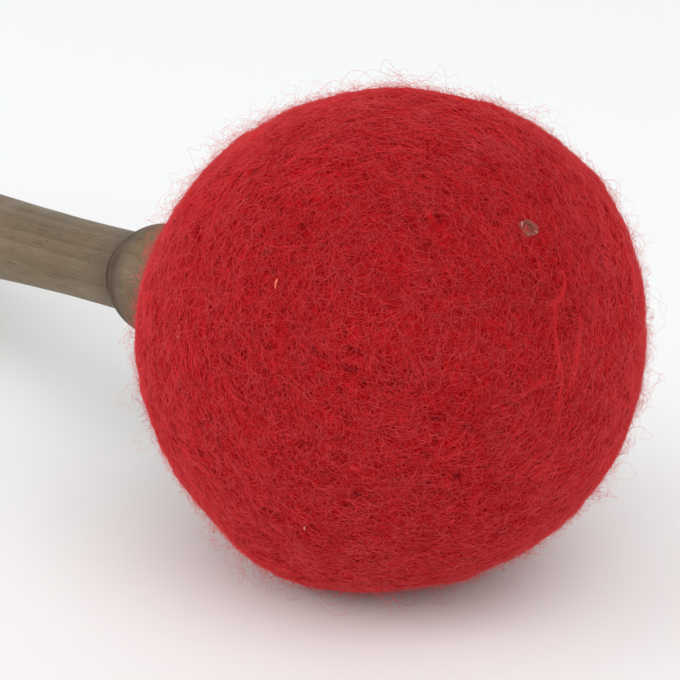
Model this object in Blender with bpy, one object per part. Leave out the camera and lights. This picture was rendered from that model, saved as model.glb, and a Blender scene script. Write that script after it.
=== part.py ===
"""Singing bowl mallet: a felted wool ball on a turned wooden handle, lying on a table.

Written for Blender 4.5. Metres, +Z up, the table top at z = 0.

Every piece is drawn along the mallet's own axis, the local X of the empty mallet_axis.
The head's centre is that empty's origin, +X points out of the head, and the handle
runs down -X. The empty then tilts the whole mallet until the head and the pommel
both touch the table.
"""

import math

import bmesh
import bpy
from mathutils import Euler, Vector

# Clearance between two pieces that touch
FIT_GAP = 0.0003

# Head, from the outside in
HEAD_RADIUS = 0.0374
FELT_THICKNESS = 0.006
WADDING_THICKNESS = 0.009
CORE_FACE_MARGIN = 0.001
REST_FLAT_DEPTH = 0.0005

# Swellings of the hand-felted ball: direction from its centre, height, half width
SWELLINGS = (
    ((0.25, 0.72, 0.65), 0.0017, math.radians(25)),
    ((-0.65, -0.75, 0.10), 0.0008, math.radians(20)),
    ((-0.12, -0.52, -0.85), 0.0014, math.radians(14)),
    ((0.70, 0.68, -0.22), 0.0008, math.radians(16)),
)

# Tenon that carries the core, and the wedge that spreads it
TENON_RADIUS = 0.0055
WEDGE_LENGTH = 0.014
WEDGE_THICK_END = 0.0024
WEDGE_THIN_END = 0.0008

# Turned handle, from the head to the butt
STUB_RADIUS = 0.008
FLANGE_RADIUS = 0.0125
FLANGE_THICKNESS = 0.0032
MOUTH_MARGIN = 0.0005
COVE_LENGTH = 0.0125
COVE_RADIUS = 0.0074
RING_LENGTH = 0.0036
RING_RISE = 0.0014
GROOVE_WIDTH = 0.0014
GROOVE_DEPTH = 0.0006
BEAD_LENGTH = 0.0140
BEAD_RISE = 0.0026
NECK_RADIUS = 0.00715
NECK_LENGTH = 0.0085
SWELL_LENGTH = 0.100
GRIP_RADIUS = 0.0096
TAPER_LENGTH = 0.042
TAIL_RADIUS = 0.0083
TAIL_RING_LENGTH = 0.0046
TAIL_RING_RISE = 0.0015
POMMEL_NECK_RADIUS = 0.0068
POMMEL_RADIUS = 0.0105
BUTT_FACE_DEPTH = 0.0006

# Facets
HANDLE_SIDES = 32
FELT_SIDES = 52
INNER_SIDES = 28
FELT_ARC_STEP = math.radians(7)
INNER_ARC_STEP = math.radians(12)

# Sizes that follow from those above
felt_inner_radius = HEAD_RADIUS - FELT_THICKNESS
wadding_radius = felt_inner_radius - FIT_GAP
wadding_inner_radius = wadding_radius - WADDING_THICKNESS
core_radius = wadding_inner_radius - FIT_GAP
core_face_radius = STUB_RADIUS + CORE_FACE_MARGIN
core_face = math.sqrt(core_radius**2 - core_face_radius**2)
bore_radius = TENON_RADIUS + FIT_GAP
neck_hole_radius = STUB_RADIUS + FIT_GAP
mouth_radius = FLANGE_RADIUS + MOUTH_MARGIN
mouth_face = math.sqrt(HEAD_RADIUS**2 - mouth_radius**2)
rest_height = HEAD_RADIUS - REST_FLAT_DEPTH


def arc(radius, start, end, step):
    """(x, r) points on a circle round the head's centre, by angle from +X."""
    count = max(2, math.ceil(abs(end - start) / step))
    angles = [start + (end - start) * i / count for i in range(count + 1)]
    return [(radius * math.cos(a), radius * math.sin(a)) for a in angles]


def eased(start, end, start_radius, end_radius, count):
    """A smooth S between two radii, level at both ends."""
    points = []
    for i in range(count + 1):
        share = i / count
        lift = (1 - math.cos(math.pi * share)) / 2
        x = start + (end - start) * share
        points.append((x, start_radius + (end_radius - start_radius) * lift))
    return points


def cove(start, end, start_radius, end_radius, count):
    """A quarter hollow that starts steep and ends level."""
    points = []
    for i in range(count + 1):
        angle = math.pi / 2 * i / count
        x = start + (end - start) * (1 - math.cos(angle))
        points.append((x, start_radius + (end_radius - start_radius) * math.sin(angle)))
    return points


def bead(start, end, base_radius, rise, count):
    """A rounded ring, the part of a circle that passes through both feet and the crest."""
    half = (start - end) / 2
    circle = (half**2 + rise**2) / (2 * rise)
    reach = math.acos(max(-1.0, 1 - rise / circle))
    middle = (start + end) / 2
    points = []
    for i in range(count + 1):
        angle = reach * (1 - 2 * i / count)
        radius = base_radius + rise - circle * (1 - math.cos(angle))
        points.append((middle + circle * math.sin(angle), radius))
    return points


def groove(start, end, radius, depth):
    """A V cut by the point of the tool."""
    return [(start, radius), ((start + end) / 2, radius - depth), (end, radius)]


def without_repeats(points):
    kept = [points[0]]
    for point in points[1:]:
        if math.dist(point, kept[-1]) > FIT_GAP / 10:
            kept.append(point)
    return kept


def turned_mesh(name, profile, sides, ring=False):
    """Spins (x, r) points round the X axis. A ring's profile closes on itself."""
    shape = bmesh.new()
    verts = [shape.verts.new((x, 0, -r)) for x, r in profile]
    pairs = list(zip(verts, verts[1:]))
    if ring:
        pairs.append((verts[-1], verts[0]))
    edges = [shape.edges.new(pair) for pair in pairs]
    bmesh.ops.spin(
        shape,
        geom=verts + edges,
        cent=(0, 0, 0),
        axis=(1, 0, 0),
        angle=math.tau,
        steps=sides,
        use_merge=True,
    )
    bmesh.ops.remove_doubles(shape, verts=shape.verts, dist=FIT_GAP / 100)
    bmesh.ops.recalc_face_normals(shape, faces=shape.faces)
    mesh = bpy.data.meshes.new(name)
    shape.to_mesh(mesh)
    shape.free()
    return mesh


def material(name, colour, roughness):
    finish = bpy.data.materials.new(name)
    finish.use_nodes = True
    finish.diffuse_color = (*colour, 1)
    shader = finish.node_tree.nodes["Principled BSDF"]
    shader.inputs["Base Color"].default_value = (*colour, 1)
    shader.inputs["Roughness"].default_value = roughness
    shader.inputs["Metallic"].default_value = 0
    return finish


def add(mesh, finish, parent, sharp_angle=math.radians(40)):
    """Puts a mesh in the scene as one named piece of the mallet."""
    piece = bpy.data.objects.new(mesh.name, mesh)
    mesh.materials.append(finish)
    mesh.shade_smooth()
    mesh.set_sharp_from_angle(angle=sharp_angle)
    piece.parent = parent
    bpy.context.scene.collection.objects.link(piece)
    return piece


def cutter(mesh, parent=None):
    helper = bpy.data.objects.new(mesh.name, mesh)
    helper.hide_render = True
    helper.display_type = "WIRE"
    helper.parent = parent
    bpy.context.scene.collection.objects.link(helper)
    return helper


def cut(piece, helper):
    boolean = piece.modifiers.new("Cut", "BOOLEAN")
    boolean.operation = "DIFFERENCE"
    boolean.solver = "EXACT"
    boolean.object = helper


def shell_profile(outer, inner, mouth, floor_face, hole):
    """A ball-shaped wool layer, open at the neck.

    outer, inner: its radii. mouth: how far down the axis its open end is cut square.
    floor_face: where the hollow is flat, over the faced ends of the core, or None.
    hole: radius of the neck's way out.
    """
    mouth_angle = math.acos(-mouth / outer)
    profile = arc(outer, 0, mouth_angle, FELT_ARC_STEP if floor_face is None else INNER_ARC_STEP)
    profile.append((-mouth, hole))
    if floor_face is None:
        inner_mouth = math.pi - math.asin(hole / inner)
        profile += arc(inner, inner_mouth, 0, INNER_ARC_STEP)
    else:
        edge = math.acos(floor_face / inner)
        profile.append((-floor_face, hole))
        profile += arc(inner, math.pi - edge, edge, INNER_ARC_STEP)
        profile.append((floor_face, 0))
    return without_repeats(profile)


def swelling(direction):
    """How far the felt stands proud of HEAD_RADIUS in this direction."""
    height = 0.0
    for towards, amount, width in SWELLINGS:
        angle = direction.angle(Vector(towards))
        height += amount * math.exp(-((angle / width) ** 2) / 2)
    return height


def make_felt_cover(parent):
    profile = shell_profile(
        HEAD_RADIUS, felt_inner_radius, mouth_face, None, neck_hole_radius
    )
    mesh = turned_mesh("felt_cover", profile, FELT_SIDES)
    middle_of_felt = (HEAD_RADIUS + felt_inner_radius) / 2
    for vert in mesh.vertices:
        if vert.co.length > middle_of_felt and vert.co.x > -mouth_face + FIT_GAP:
            direction = vert.co.normalized()
            vert.co += direction * swelling(direction)
    return add(mesh, material("red_felt", (0.36, 0.012, 0.015), 1.0), parent)


def press_flat(cover, head_centre):
    """Takes off what would reach below the table top, at z = 0."""
    side = 4 * HEAD_RADIUS
    shape = bmesh.new()
    bmesh.ops.create_cube(shape, size=side)
    bmesh.ops.translate(shape, verts=shape.verts, vec=(0, 0, -side / 2))
    mesh = bpy.data.meshes.new("table_cutter")
    shape.to_mesh(mesh)
    shape.free()
    table = cutter(mesh)
    table.location = (head_centre.x, head_centre.y, 0)
    cut(cover, table)


def make_wadding(parent):
    mouth = math.sqrt(wadding_radius**2 - neck_hole_radius**2)
    profile = shell_profile(
        wadding_radius, wadding_inner_radius, mouth, core_face + FIT_GAP, neck_hole_radius
    )
    mesh = turned_mesh("wool_wadding", profile, INNER_SIDES)
    return add(mesh, material("undyed_wool", (0.62, 0.55, 0.43), 1.0), parent)


def make_core(parent):
    edge = math.acos(core_face / core_radius)
    profile = [(core_face, bore_radius)]
    profile += arc(core_radius, edge, math.pi - edge, INNER_ARC_STEP)
    profile.append((-core_face, bore_radius))
    mesh = turned_mesh("head_core", profile, INNER_SIDES, ring=True)
    return add(mesh, material("core_wood", (0.45, 0.30, 0.16), 0.7), parent)


def slip_mesh(name, inner_end, outer_end, half_width, clearance):
    """A tapered slip along X, as the wedge tapers, thicker all round by a clearance."""
    slope = (WEDGE_THICK_END - WEDGE_THIN_END) / WEDGE_LENGTH
    shape = bmesh.new()
    ends = []
    for x in (inner_end, outer_end):
        half = (WEDGE_THICK_END + slope * (x - core_face)) / 2 + clearance
        corners = ((-1, -1), (1, -1), (1, 1), (-1, 1))
        ring = [shape.verts.new((x, a * half_width, b * half)) for a, b in corners]
        ends.append(shape.faces.new(ring))
    bmesh.ops.bridge_loops(shape, edges=[edge for face in ends for edge in face.edges])
    bmesh.ops.recalc_face_normals(shape, faces=shape.faces)
    mesh = bpy.data.meshes.new(name)
    shape.to_mesh(mesh)
    shape.free()
    return mesh


def make_wedge(parent):
    """Driven in at the core's far face, flush with it and a little narrower than the bore."""
    half_width = math.sqrt(TENON_RADIUS**2 - (WEDGE_THICK_END / 2) ** 2) - FIT_GAP
    mesh = slip_mesh("tenon_wedge", core_face - WEDGE_LENGTH, core_face, half_width, 0)
    return add(mesh, material("wedge_wood", (0.30, 0.17, 0.08), 0.6), parent)


def kerf_mesh():
    """The saw cut in the tenon that takes the wedge, open at the tenon's end and sides."""
    inner_end = core_face - WEDGE_LENGTH - FIT_GAP
    outer_end = core_face + TENON_RADIUS
    return slip_mesh("kerf_cutter", inner_end, outer_end, 2 * TENON_RADIUS, FIT_GAP)


def handle_profile():
    """The turned outline from the tenon's end to the butt, with x falling all the way."""
    x = -core_face - FIT_GAP
    points = [(core_face, 0), (core_face, TENON_RADIUS), (x, TENON_RADIUS), (x, STUB_RADIUS)]

    x = -mouth_face - FIT_GAP
    rim = FLANGE_THICKNESS / 2
    points.append((x, STUB_RADIUS))
    points += bead(x, x - FLANGE_THICKNESS, FLANGE_RADIUS - rim, rim, 6)
    x -= FLANGE_THICKNESS
    points += cove(x, x - COVE_LENGTH, FLANGE_RADIUS - rim, COVE_RADIUS, 7)
    x -= COVE_LENGTH
    points += bead(x, x - RING_LENGTH, COVE_RADIUS, RING_RISE, 6)
    x -= RING_LENGTH
    points += groove(x, x - GROOVE_WIDTH, COVE_RADIUS, GROOVE_DEPTH)
    x -= GROOVE_WIDTH
    points += bead(x, x - BEAD_LENGTH, COVE_RADIUS, BEAD_RISE, 12)
    x -= BEAD_LENGTH
    points += groove(x, x - GROOVE_WIDTH, NECK_RADIUS, GROOVE_DEPTH)
    x -= GROOVE_WIDTH + NECK_LENGTH

    points += eased(x, x - SWELL_LENGTH, NECK_RADIUS, GRIP_RADIUS, 12)
    x -= SWELL_LENGTH
    points += eased(x, x - TAPER_LENGTH, GRIP_RADIUS, TAIL_RADIUS, 6)
    x -= TAPER_LENGTH
    points += groove(x, x - GROOVE_WIDTH, TAIL_RADIUS, GROOVE_DEPTH)
    x -= GROOVE_WIDTH
    points += bead(x, x - TAIL_RING_LENGTH, TAIL_RADIUS, TAIL_RING_RISE, 6)
    x -= TAIL_RING_LENGTH

    centre = x - math.sqrt(POMMEL_RADIUS**2 - POMMEL_NECK_RADIUS**2)
    start = math.asin(POMMEL_NECK_RADIUS / POMMEL_RADIUS)
    end = math.pi - math.acos(1 - BUTT_FACE_DEPTH / POMMEL_RADIUS)
    knob = arc(POMMEL_RADIUS, start, end, INNER_ARC_STEP)
    points += [(centre + along, radius) for along, radius in knob]
    points.append((centre - POMMEL_RADIUS + BUTT_FACE_DEPTH, 0))
    return without_repeats(points), -centre


def make_handle(parent, profile):
    mesh = turned_mesh("handle", profile, HANDLE_SIDES)
    handle = add(mesh, material("handle_wood", (0.21, 0.155, 0.105), 0.55), parent)
    cut(handle, cutter(kerf_mesh(), parent))
    return handle


def bounds(pieces):
    """Lowest and highest world corner of the evaluated pieces."""
    graph = bpy.context.evaluated_depsgraph_get()
    points = []
    for piece in pieces:
        mesh = piece.evaluated_get(graph).to_mesh()
        points += [piece.matrix_world @ vert.co for vert in mesh.vertices]
    low = Vector(min(point[i] for point in points) for i in range(3))
    high = Vector(max(point[i] for point in points) for i in range(3))
    return low, high


def main():
    for old in list(bpy.data.objects):
        bpy.data.objects.remove(old, do_unlink=True)

    profile, pommel_distance = handle_profile()
    tilt = math.asin((rest_height - POMMEL_RADIUS) / pommel_distance)
    mallet = bpy.data.objects.new("mallet_axis", None)
    bpy.context.scene.collection.objects.link(mallet)
    mallet.rotation_euler = Euler((0, -tilt, 0))
    mallet.location = (0, 0, rest_height)

    cover = make_felt_cover(mallet)
    pieces = [cover, make_wadding(mallet), make_core(mallet), make_wedge(mallet)]
    pieces.append(make_handle(mallet, profile))
    bpy.context.view_layer.update()

    low, high = bounds(pieces)
    mallet.location -= Vector((low.x + high.x, low.y + high.y, 0)) / 2
    press_flat(cover, mallet.location)
    bpy.context.view_layer.update()

    butt = mallet.matrix_world @ Vector((profile[-1][0], 0, 0))
    print(f"tilt {math.degrees(tilt):.4f} degrees, {len(pieces)} pieces")
    print("head centre", [round(value, 6) for value in mallet.location])
    print("butt face centre", [round(value, 6) for value in butt])


main()
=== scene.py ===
# %% [markdown]
# # A felted singing bowl mallet
#
# The object is a ball of red felted wool on a turned wooden handle. The imported model gives the
# construction: where the head and the handle are and how big they are. This notebook dresses it.
# The ball gets a matted surface and tens of thousands of wool fibres, and the handle gets a finer
# turned outline, grain, and dirt and painted shade round its grooves.
#
# First the frame is loaded. It fixes the place and size of everything that follows.

# %% Load the frame
import math

import bmesh
import bpy
import numpy as np
from mathutils import Euler, Matrix, Vector


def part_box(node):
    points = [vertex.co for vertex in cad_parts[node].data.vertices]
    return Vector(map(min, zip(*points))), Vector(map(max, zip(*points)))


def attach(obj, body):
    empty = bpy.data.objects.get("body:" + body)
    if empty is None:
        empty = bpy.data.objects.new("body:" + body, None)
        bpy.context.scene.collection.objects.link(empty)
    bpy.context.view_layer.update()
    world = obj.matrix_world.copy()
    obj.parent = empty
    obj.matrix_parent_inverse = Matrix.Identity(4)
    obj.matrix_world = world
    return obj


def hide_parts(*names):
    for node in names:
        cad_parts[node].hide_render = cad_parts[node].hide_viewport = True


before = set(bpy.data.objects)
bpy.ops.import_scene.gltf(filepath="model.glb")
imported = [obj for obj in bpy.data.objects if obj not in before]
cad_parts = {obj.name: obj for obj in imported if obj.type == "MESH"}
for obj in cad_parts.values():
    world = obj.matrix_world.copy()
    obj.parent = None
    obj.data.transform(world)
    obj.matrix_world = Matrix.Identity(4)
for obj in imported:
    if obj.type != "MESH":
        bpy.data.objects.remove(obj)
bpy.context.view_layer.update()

# %% [markdown]
# ## The mallet's own axis
#
# The mallet lies tilted on the table, its head on one side and the pommel on the other. It is far
# easier to model along its own axis, so every piece here is worked out with X running from the
# butt out through the head and with the head's centre at zero. One matrix then lays it down. The
# head's centre is the middle of the core's box, because the core is a plain ball with two equal
# faces. The pommel's ball touches the table, so its centre is one radius up and one radius in.

# %% Axis and tilt
MM = 0.001
HEAD_RADIUS = 37.4 * MM
FELT_THICKNESS = 6.0 * MM
POMMEL_RADIUS = 10.5 * MM
GAP = 0.3 * MM

core_low, core_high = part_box("head_core")
handle_low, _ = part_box("handle")
head_centre = (core_low + core_high) / 2
pommel_centre = Vector((handle_low.x + POMMEL_RADIUS, head_centre.y, POMMEL_RADIUS))
tilt = math.atan2(head_centre.z - pommel_centre.z, head_centre.x - pommel_centre.x)
laid_down = Matrix.Translation(head_centre) @ Euler((0, -tilt, 0)).to_matrix().to_4x4()
turn_down = np.array(laid_down.to_3x3())
centre_place = np.array(head_centre)


def lay_down(points):
    """From the mallet's axes to the table's."""
    return points @ turn_down.T + centre_place


def pick_up(points):
    """From the table's axes to the mallet's."""
    return (points - centre_place) @ turn_down


def packed_points(node):
    """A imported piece's vertices in the mallet's axes."""
    return pick_up(np.array([vert.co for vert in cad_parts[node].data.vertices]))


print(f"tilt {math.degrees(tilt):.2f} degrees")

# %% [markdown]
# ## Camera
#
# The photograph looks down on the head from its front right, and the handle runs away behind it.
# The lens is long, about 107 mm on a 36 mm sensor, from only 30 cm away. The camera is not
# pointed at the head but a little beside it, which puts the head right of centre as in the photo.
# That keeps the lens shift at zero.

# %% Camera
PHOTO_SIZE = 680
HEAD_IN_PHOTO = (391.2, 339.7)
CAMERA_AZIMUTH = math.radians(51.0)
CAMERA_ELEVATION = math.radians(20.0)
CAMERA_DISTANCE = 304 * MM
FOCAL_PIXELS = 2022.0
SENSOR = 36.0

towards_camera = Vector((
    math.sin(CAMERA_AZIMUTH) * math.cos(CAMERA_ELEVATION),
    -math.cos(CAMERA_AZIMUTH) * math.cos(CAMERA_ELEVATION),
    math.sin(CAMERA_ELEVATION),
))
camera_right = Vector((math.cos(CAMERA_AZIMUTH), math.sin(CAMERA_AZIMUTH), 0))
camera_up = towards_camera.cross(camera_right)
metres_per_pixel = CAMERA_DISTANCE / FOCAL_PIXELS
aim = (
    head_centre
    - camera_right * (HEAD_IN_PHOTO[0] - PHOTO_SIZE / 2) * metres_per_pixel
    + camera_up * (HEAD_IN_PHOTO[1] - PHOTO_SIZE / 2) * metres_per_pixel
)
camera_data = bpy.data.cameras.new("photo_camera")
camera_data.sensor_width = SENSOR
camera_data.lens = FOCAL_PIXELS / PHOTO_SIZE * SENSOR
camera_data.clip_start = 10 * MM
camera = bpy.data.objects.new("photo_camera", camera_data)
camera.location = head_centre + towards_camera * CAMERA_DISTANCE
camera.rotation_euler = (camera.location - aim).to_track_quat("Z", "Y").to_euler()
bpy.context.scene.collection.objects.link(camera)
bpy.context.scene.camera = camera
bpy.context.view_layer.update()
print(f"lens {camera_data.lens:.0f} mm")

# %% [markdown]
# Some small things on the felt, such as the seed husk, sit where the photograph shows them. These
# helpers send a ray through a point of the photo. The second returns the direction from the head's
# centre to where the ray meets the ball, in the mallet's own axes.


# %% From the photo to the ball
def photo_ray(photo_x, photo_y):
    """The way to a point of the photo, in the camera's axes and one metre deep."""
    across = (photo_x - PHOTO_SIZE / 2) / FOCAL_PIXELS
    down = (photo_y - PHOTO_SIZE / 2) / FOCAL_PIXELS
    return Vector((across, -down, -1))


def on_head(photo_x, photo_y):
    ray = camera.matrix_world.to_3x3() @ photo_ray(photo_x, photo_y).normalized()
    start = camera.location - head_centre
    along = start.dot(ray)
    reach = math.sqrt(along**2 - start.length_squared + HEAD_RADIUS**2)
    hit = start + ray * (-along - reach)
    return np.array(laid_down.to_3x3().inverted() @ hit) / HEAD_RADIUS


SWIRL_CENTRE = on_head(415, 325)
print("the felt's swirl turns about", SWIRL_CENTRE.round(2))

# %% [markdown]
# ## Table and light
#
# The photo was taken on white paper in soft daylight. A sheet that lies flat and then curves up
# behind gives that ground with no edge in view. The light is a pale world for the even part and two
# soft panels for the direction: a large one high on the camera's side and a smaller one low on the
# left. Together they light a level surface with a strength of about 1, so that a colour renders as
# it is written. The lighting world is dimmer than the paper, so the camera, gloss and clear things
# are shown a plain white sky instead.

# %% Paper sweep
SWEEP_HALF_WIDTH = 8.0
SWEEP_FRONT = 1.2
SWEEP_BACK = 1.0
SWEEP_BEND = 0.6
SWEEP_HEIGHT = 1.6
SWEEP_STEPS = 24
PAPER = (0.965, 0.97, 0.965)


def paper_sweep():
    outline = [(-SWEEP_FRONT, 0.0), (SWEEP_BACK, 0.0)]
    for i in range(1, SWEEP_STEPS + 1):
        angle = math.pi / 2 * i / SWEEP_STEPS
        bend = (math.sin(angle), 1 - math.cos(angle))
        outline.append((SWEEP_BACK + SWEEP_BEND * bend[0], SWEEP_BEND * bend[1]))
    outline.append((SWEEP_BACK + SWEEP_BEND, SWEEP_HEIGHT))
    away_from_camera = -towards_camera.xy.normalized()
    shape = bmesh.new()
    rows = []
    for away, height in outline:
        ends = []
        for side in (-SWEEP_HALF_WIDTH, SWEEP_HALF_WIDTH):
            place = away_from_camera * away + camera_right.xy * side
            ends.append(shape.verts.new((place.x, place.y, height)))
        rows.append(ends)
    for near, far in zip(rows, rows[1:]):
        shape.faces.new((near[0], near[1], far[1], far[0]))
    mesh = bpy.data.meshes.new("paper_sweep")
    shape.to_mesh(mesh)
    shape.free()
    mesh.shade_smooth()
    return mesh


def link(mesh):
    piece = bpy.data.objects.new(mesh.name, mesh)
    bpy.context.scene.collection.objects.link(piece)
    return piece


paper = bpy.data.materials.new("white_paper")
paper.use_nodes = True
paper_shader = paper.node_tree.nodes["Principled BSDF"]
paper_shader.inputs["Base Color"].default_value = (*PAPER, 1)
paper_shader.inputs["Roughness"].default_value = 0.9
paper_shader.inputs["Specular IOR Level"].default_value = 0.13
sweep = link(paper_sweep())
sweep.data.materials.append(paper)
print("paper sweep:", len(sweep.data.polygons), "faces")

# %% Light
LIGHTING_SKY = (0.97, 0.985, 1.0, 1)
LIGHTING_STRENGTH = 0.535
SEEN_SKY = (1, 1, 1, 1)
PANEL_DISTANCE = 2.6
UPWARDS = Vector((0, 0, 1))
ROOF_WAY = UPWARDS + camera_right * 0.42 + towards_camera * 1.3
ROOF_SIZE = 2.6
ROOF_WATTS = 40
SIDE_WAY = UPWARDS * 0.25 - camera_right * 0.9 + towards_camera * 0.2
SIDE_SIZE = 1.6
SIDE_WATTS = 25

world = bpy.data.worlds.new("soft_daylight")
bpy.context.scene.world = world
world.use_nodes = True
sky = world.node_tree.nodes["Background"]
sky.inputs["Color"].default_value = LIGHTING_SKY
sky.inputs["Strength"].default_value = LIGHTING_STRENGTH
seen_sky = world.node_tree.nodes.new("ShaderNodeBackground")
seen_sky.inputs["Color"].default_value = SEEN_SKY
light_path = world.node_tree.nodes.new("ShaderNodeLightPath")
chosen_sky = world.node_tree.nodes.new("ShaderNodeMixShader")
world_output = world.node_tree.nodes["World Output"]
sees_sky = light_path.outputs["Is Camera Ray"]
for ray in ("Is Glossy Ray", "Is Transmission Ray"):
    either = world.node_tree.nodes.new("ShaderNodeMath")
    either.operation = "MAXIMUM"
    world.node_tree.links.new(sees_sky, either.inputs[0])
    world.node_tree.links.new(light_path.outputs[ray], either.inputs[1])
    sees_sky = either.outputs["Value"]
world.node_tree.links.new(sees_sky, chosen_sky.inputs["Fac"])
world.node_tree.links.new(sky.outputs["Background"], chosen_sky.inputs[1])
world.node_tree.links.new(seen_sky.outputs["Background"], chosen_sky.inputs[2])
world.node_tree.links.new(chosen_sky.outputs["Shader"], world_output.inputs["Surface"])


def soft_panel(name, towards, size, watts):
    data = bpy.data.lights.new(name, "AREA")
    data.shape = "SQUARE"
    data.size = size
    data.energy = watts
    panel = bpy.data.objects.new(name, data)
    panel.location = head_centre + towards.normalized() * PANEL_DISTANCE
    panel.rotation_euler = towards.to_track_quat("Z", "Y").to_euler()
    panel.visible_camera = False
    bpy.context.scene.collection.objects.link(panel)


soft_panel("roof_panel", ROOF_WAY, ROOF_SIZE, ROOF_WATTS)
soft_panel("side_panel", SIDE_WAY, SIDE_SIZE, SIDE_WATTS)
bpy.context.scene.view_settings.view_transform = "Standard"
print(f"two panels of {ROOF_WATTS} and {SIDE_WATTS} W, a world of strength {LIGHTING_STRENGTH}")

# %% [markdown]
# ## The felt's surface as a formula
#
# Felt is made by hand, so the ball is not quite round. The same four swellings that the packed
# model has are repeated here: which way each lies, its height and its half width. Then smaller lumps
# are added: a sum of plane waves in random directions, which gives an even, natural bumpiness with
# no grid showing. Everything on the ball asks this one function how far out the surface is, so the
# fibres follow the lumps.
#
# The photograph's outline is flatter than that in some places and fuller in others. The second list
# says where, in degrees counted from the right, by how much, and how wide in degrees. Round the
# collar the wool puffs up a little, where it was needled in tight behind the flange.

# %% Lumps
SWELLINGS = (
    ((0.25, 0.72, 0.65), 1.7 * MM, math.radians(25)),
    ((-0.65, -0.75, 0.10), 0.8 * MM, math.radians(20)),
    ((-0.12, -0.52, -0.85), 1.4 * MM, math.radians(14)),
    ((0.70, 0.68, -0.22), 0.8 * MM, math.radians(16)),
)
FLATS = (
    (66, -0.95 * MM, 10),
    (2, -0.40 * MM, 7),
    (26, 0.25 * MM, 8),
    (42, -0.35 * MM, 7),
    (90, -0.35 * MM, 16),
    (122, 0.40 * MM, 7),
    (180, 0.25 * MM, 7),
    (200, -0.2 * MM, 8),
    (236, 0.30 * MM, 10),
    (268, -0.45 * MM, 8),
    (293, -0.70 * MM, 15),
    (347, -0.75 * MM, 13),
)
LUMPS = ((17 * MM, 0.22 * MM), (7 * MM, 0.14 * MM), (3.2 * MM, 0.09 * MM))
MOUTH_RADIUS = 13.0 * MM
COLLAR_PUFF = 0.7 * MM
COLLAR_PUFF_WIDTH = math.radians(4)
mouth_face = math.sqrt(HEAD_RADIUS**2 - MOUTH_RADIUS**2)
mouth_angle = math.asin(MOUTH_RADIUS / HEAD_RADIUS)


def ripples(points, wavelength, seed, count=28):
    """An even random bumpiness, about -1 to 1, for points in metres."""
    rng = np.random.default_rng(seed)
    waves = rng.normal(size=(count, 3))
    waves /= np.linalg.norm(waves, axis=1)[:, None]
    waves *= math.tau / wavelength * rng.uniform(0.7, 1.4, (count, 1))
    phases = rng.uniform(0, math.tau, count)
    return np.cos(points @ waves.T + phases).sum(1) * math.sqrt(0.5 / count)


def angle_from(directions, towards):
    towards = np.array(towards) / np.linalg.norm(towards)
    return np.arccos(np.clip(directions @ towards, -1, 1))


def on_outline(degrees):
    """The direction to the ball's outline in the photo, counted from its right."""
    turn = math.radians(degrees)
    return np.array(camera_right * math.cos(turn) + camera_up * math.sin(turn)) @ turn_down


def surface_radius(directions):
    """How far the felt's mean surface is from the head's centre, per unit direction."""
    radius = np.full(len(directions), HEAD_RADIUS)
    for towards, height, width in SWELLINGS:
        radius += height * np.exp(-((angle_from(directions, towards) / width) ** 2) / 2)
    for degrees, height, width in FLATS:
        away = angle_from(directions, on_outline(degrees)) / math.radians(width)
        radius += height * np.exp(-(away**2) / 2)
    from_mouth = (angle_from(directions, (-1, 0, 0)) - mouth_angle) / COLLAR_PUFF_WIDTH
    radius += COLLAR_PUFF * np.exp(-((from_mouth - 1) ** 2))
    for seed, (wavelength, height) in enumerate(LUMPS):
        radius += height * ripples(directions * HEAD_RADIUS, wavelength, seed)
    return radius


axis_ends = surface_radius(np.array([[1.0, 0, 0], [0, 0, 1.0]]))
print("felt's radius at its end and its side, in millimetres:", (axis_ends / MM).round(1))

# %% [markdown]
# Here and there the wool has not closed up and leaves a hollow a millimetre wide. The hollows come
# in groups, with fewer on the ball's smooth right side.

# %% Hollows
HOLLOW_DEPTH = 0.4 * MM
HOLLOW_SPACING = 2.4 * MM
HOLLOW_SEED = 30
HOLLOW_LEVEL = 0.38
HOLLOW_RANGE = 0.6
GROUP_SPACING = 13 * MM
GROUP_SEED = 31
GROUP_LEVEL = 0.5
SMOOTH_RIGHT = 0.7
LEAST_GROUP = 0.05


def hollows(directions):
    """How much of a hollow there is, from 0 to 1."""
    places = directions * HEAD_RADIUS
    depth = (ripples(places, HOLLOW_SPACING, HOLLOW_SEED) - HOLLOW_LEVEL) / HOLLOW_RANGE
    group = ripples(places, GROUP_SPACING, GROUP_SEED) + GROUP_LEVEL
    group = group - SMOOTH_RIGHT * directions @ on_outline(0)
    return np.clip(depth, 0, 1) * np.clip(group, LEAST_GROUP, 1)


# %% [markdown]
# Narrow folds run over the ball, most of them on its right, where laps of wool were felted down.
# Each is a low ridge: its height, then the points of the photo that its bent line goes through. It
# fades out at both ends. Anything on the ball can ask for the height there and for the way the
# nearest fold runs.

# %% Folds
FOLDS = (
    (
        0.68 * MM, (556, 266), (562, 280), (559, 293), (552, 303), (551, 325), (554, 355), (557, 372),
        (555, 400), (557, 436),
    ),
    (0.42 * MM, (573, 300), (577, 322), (575, 345), (571, 368), (570, 385)),
    (0.35 * MM, (506, 405), (522, 393), (534, 384), (545, 381)),
    (0.25 * MM, (520, 240), (536, 262), (548, 300)),
    (0.25 * MM, (250, 190), (295, 160), (345, 140)),
)
FOLD_WIDTH = 0.42 * MM
FOLD_STEPS = 8
FOLD_FADE = 0.5


def fold_line(places):
    """Unit directions along a fold, the way it runs at each, and how much of it is left there."""
    places = np.array(places, float)
    share = np.linspace(0, len(places) - 1, FOLD_STEPS * (len(places) - 1) + 1)
    across, down = (np.interp(share, range(len(places)), places[:, i]) for i in (0, 1))
    line = np.array([on_head(x, y) for x, y in zip(across, down)])
    runs = flattened(np.gradient(line, axis=0), line)
    return line, runs, np.sin(math.pi * share / share[-1]) ** FOLD_FADE


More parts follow.
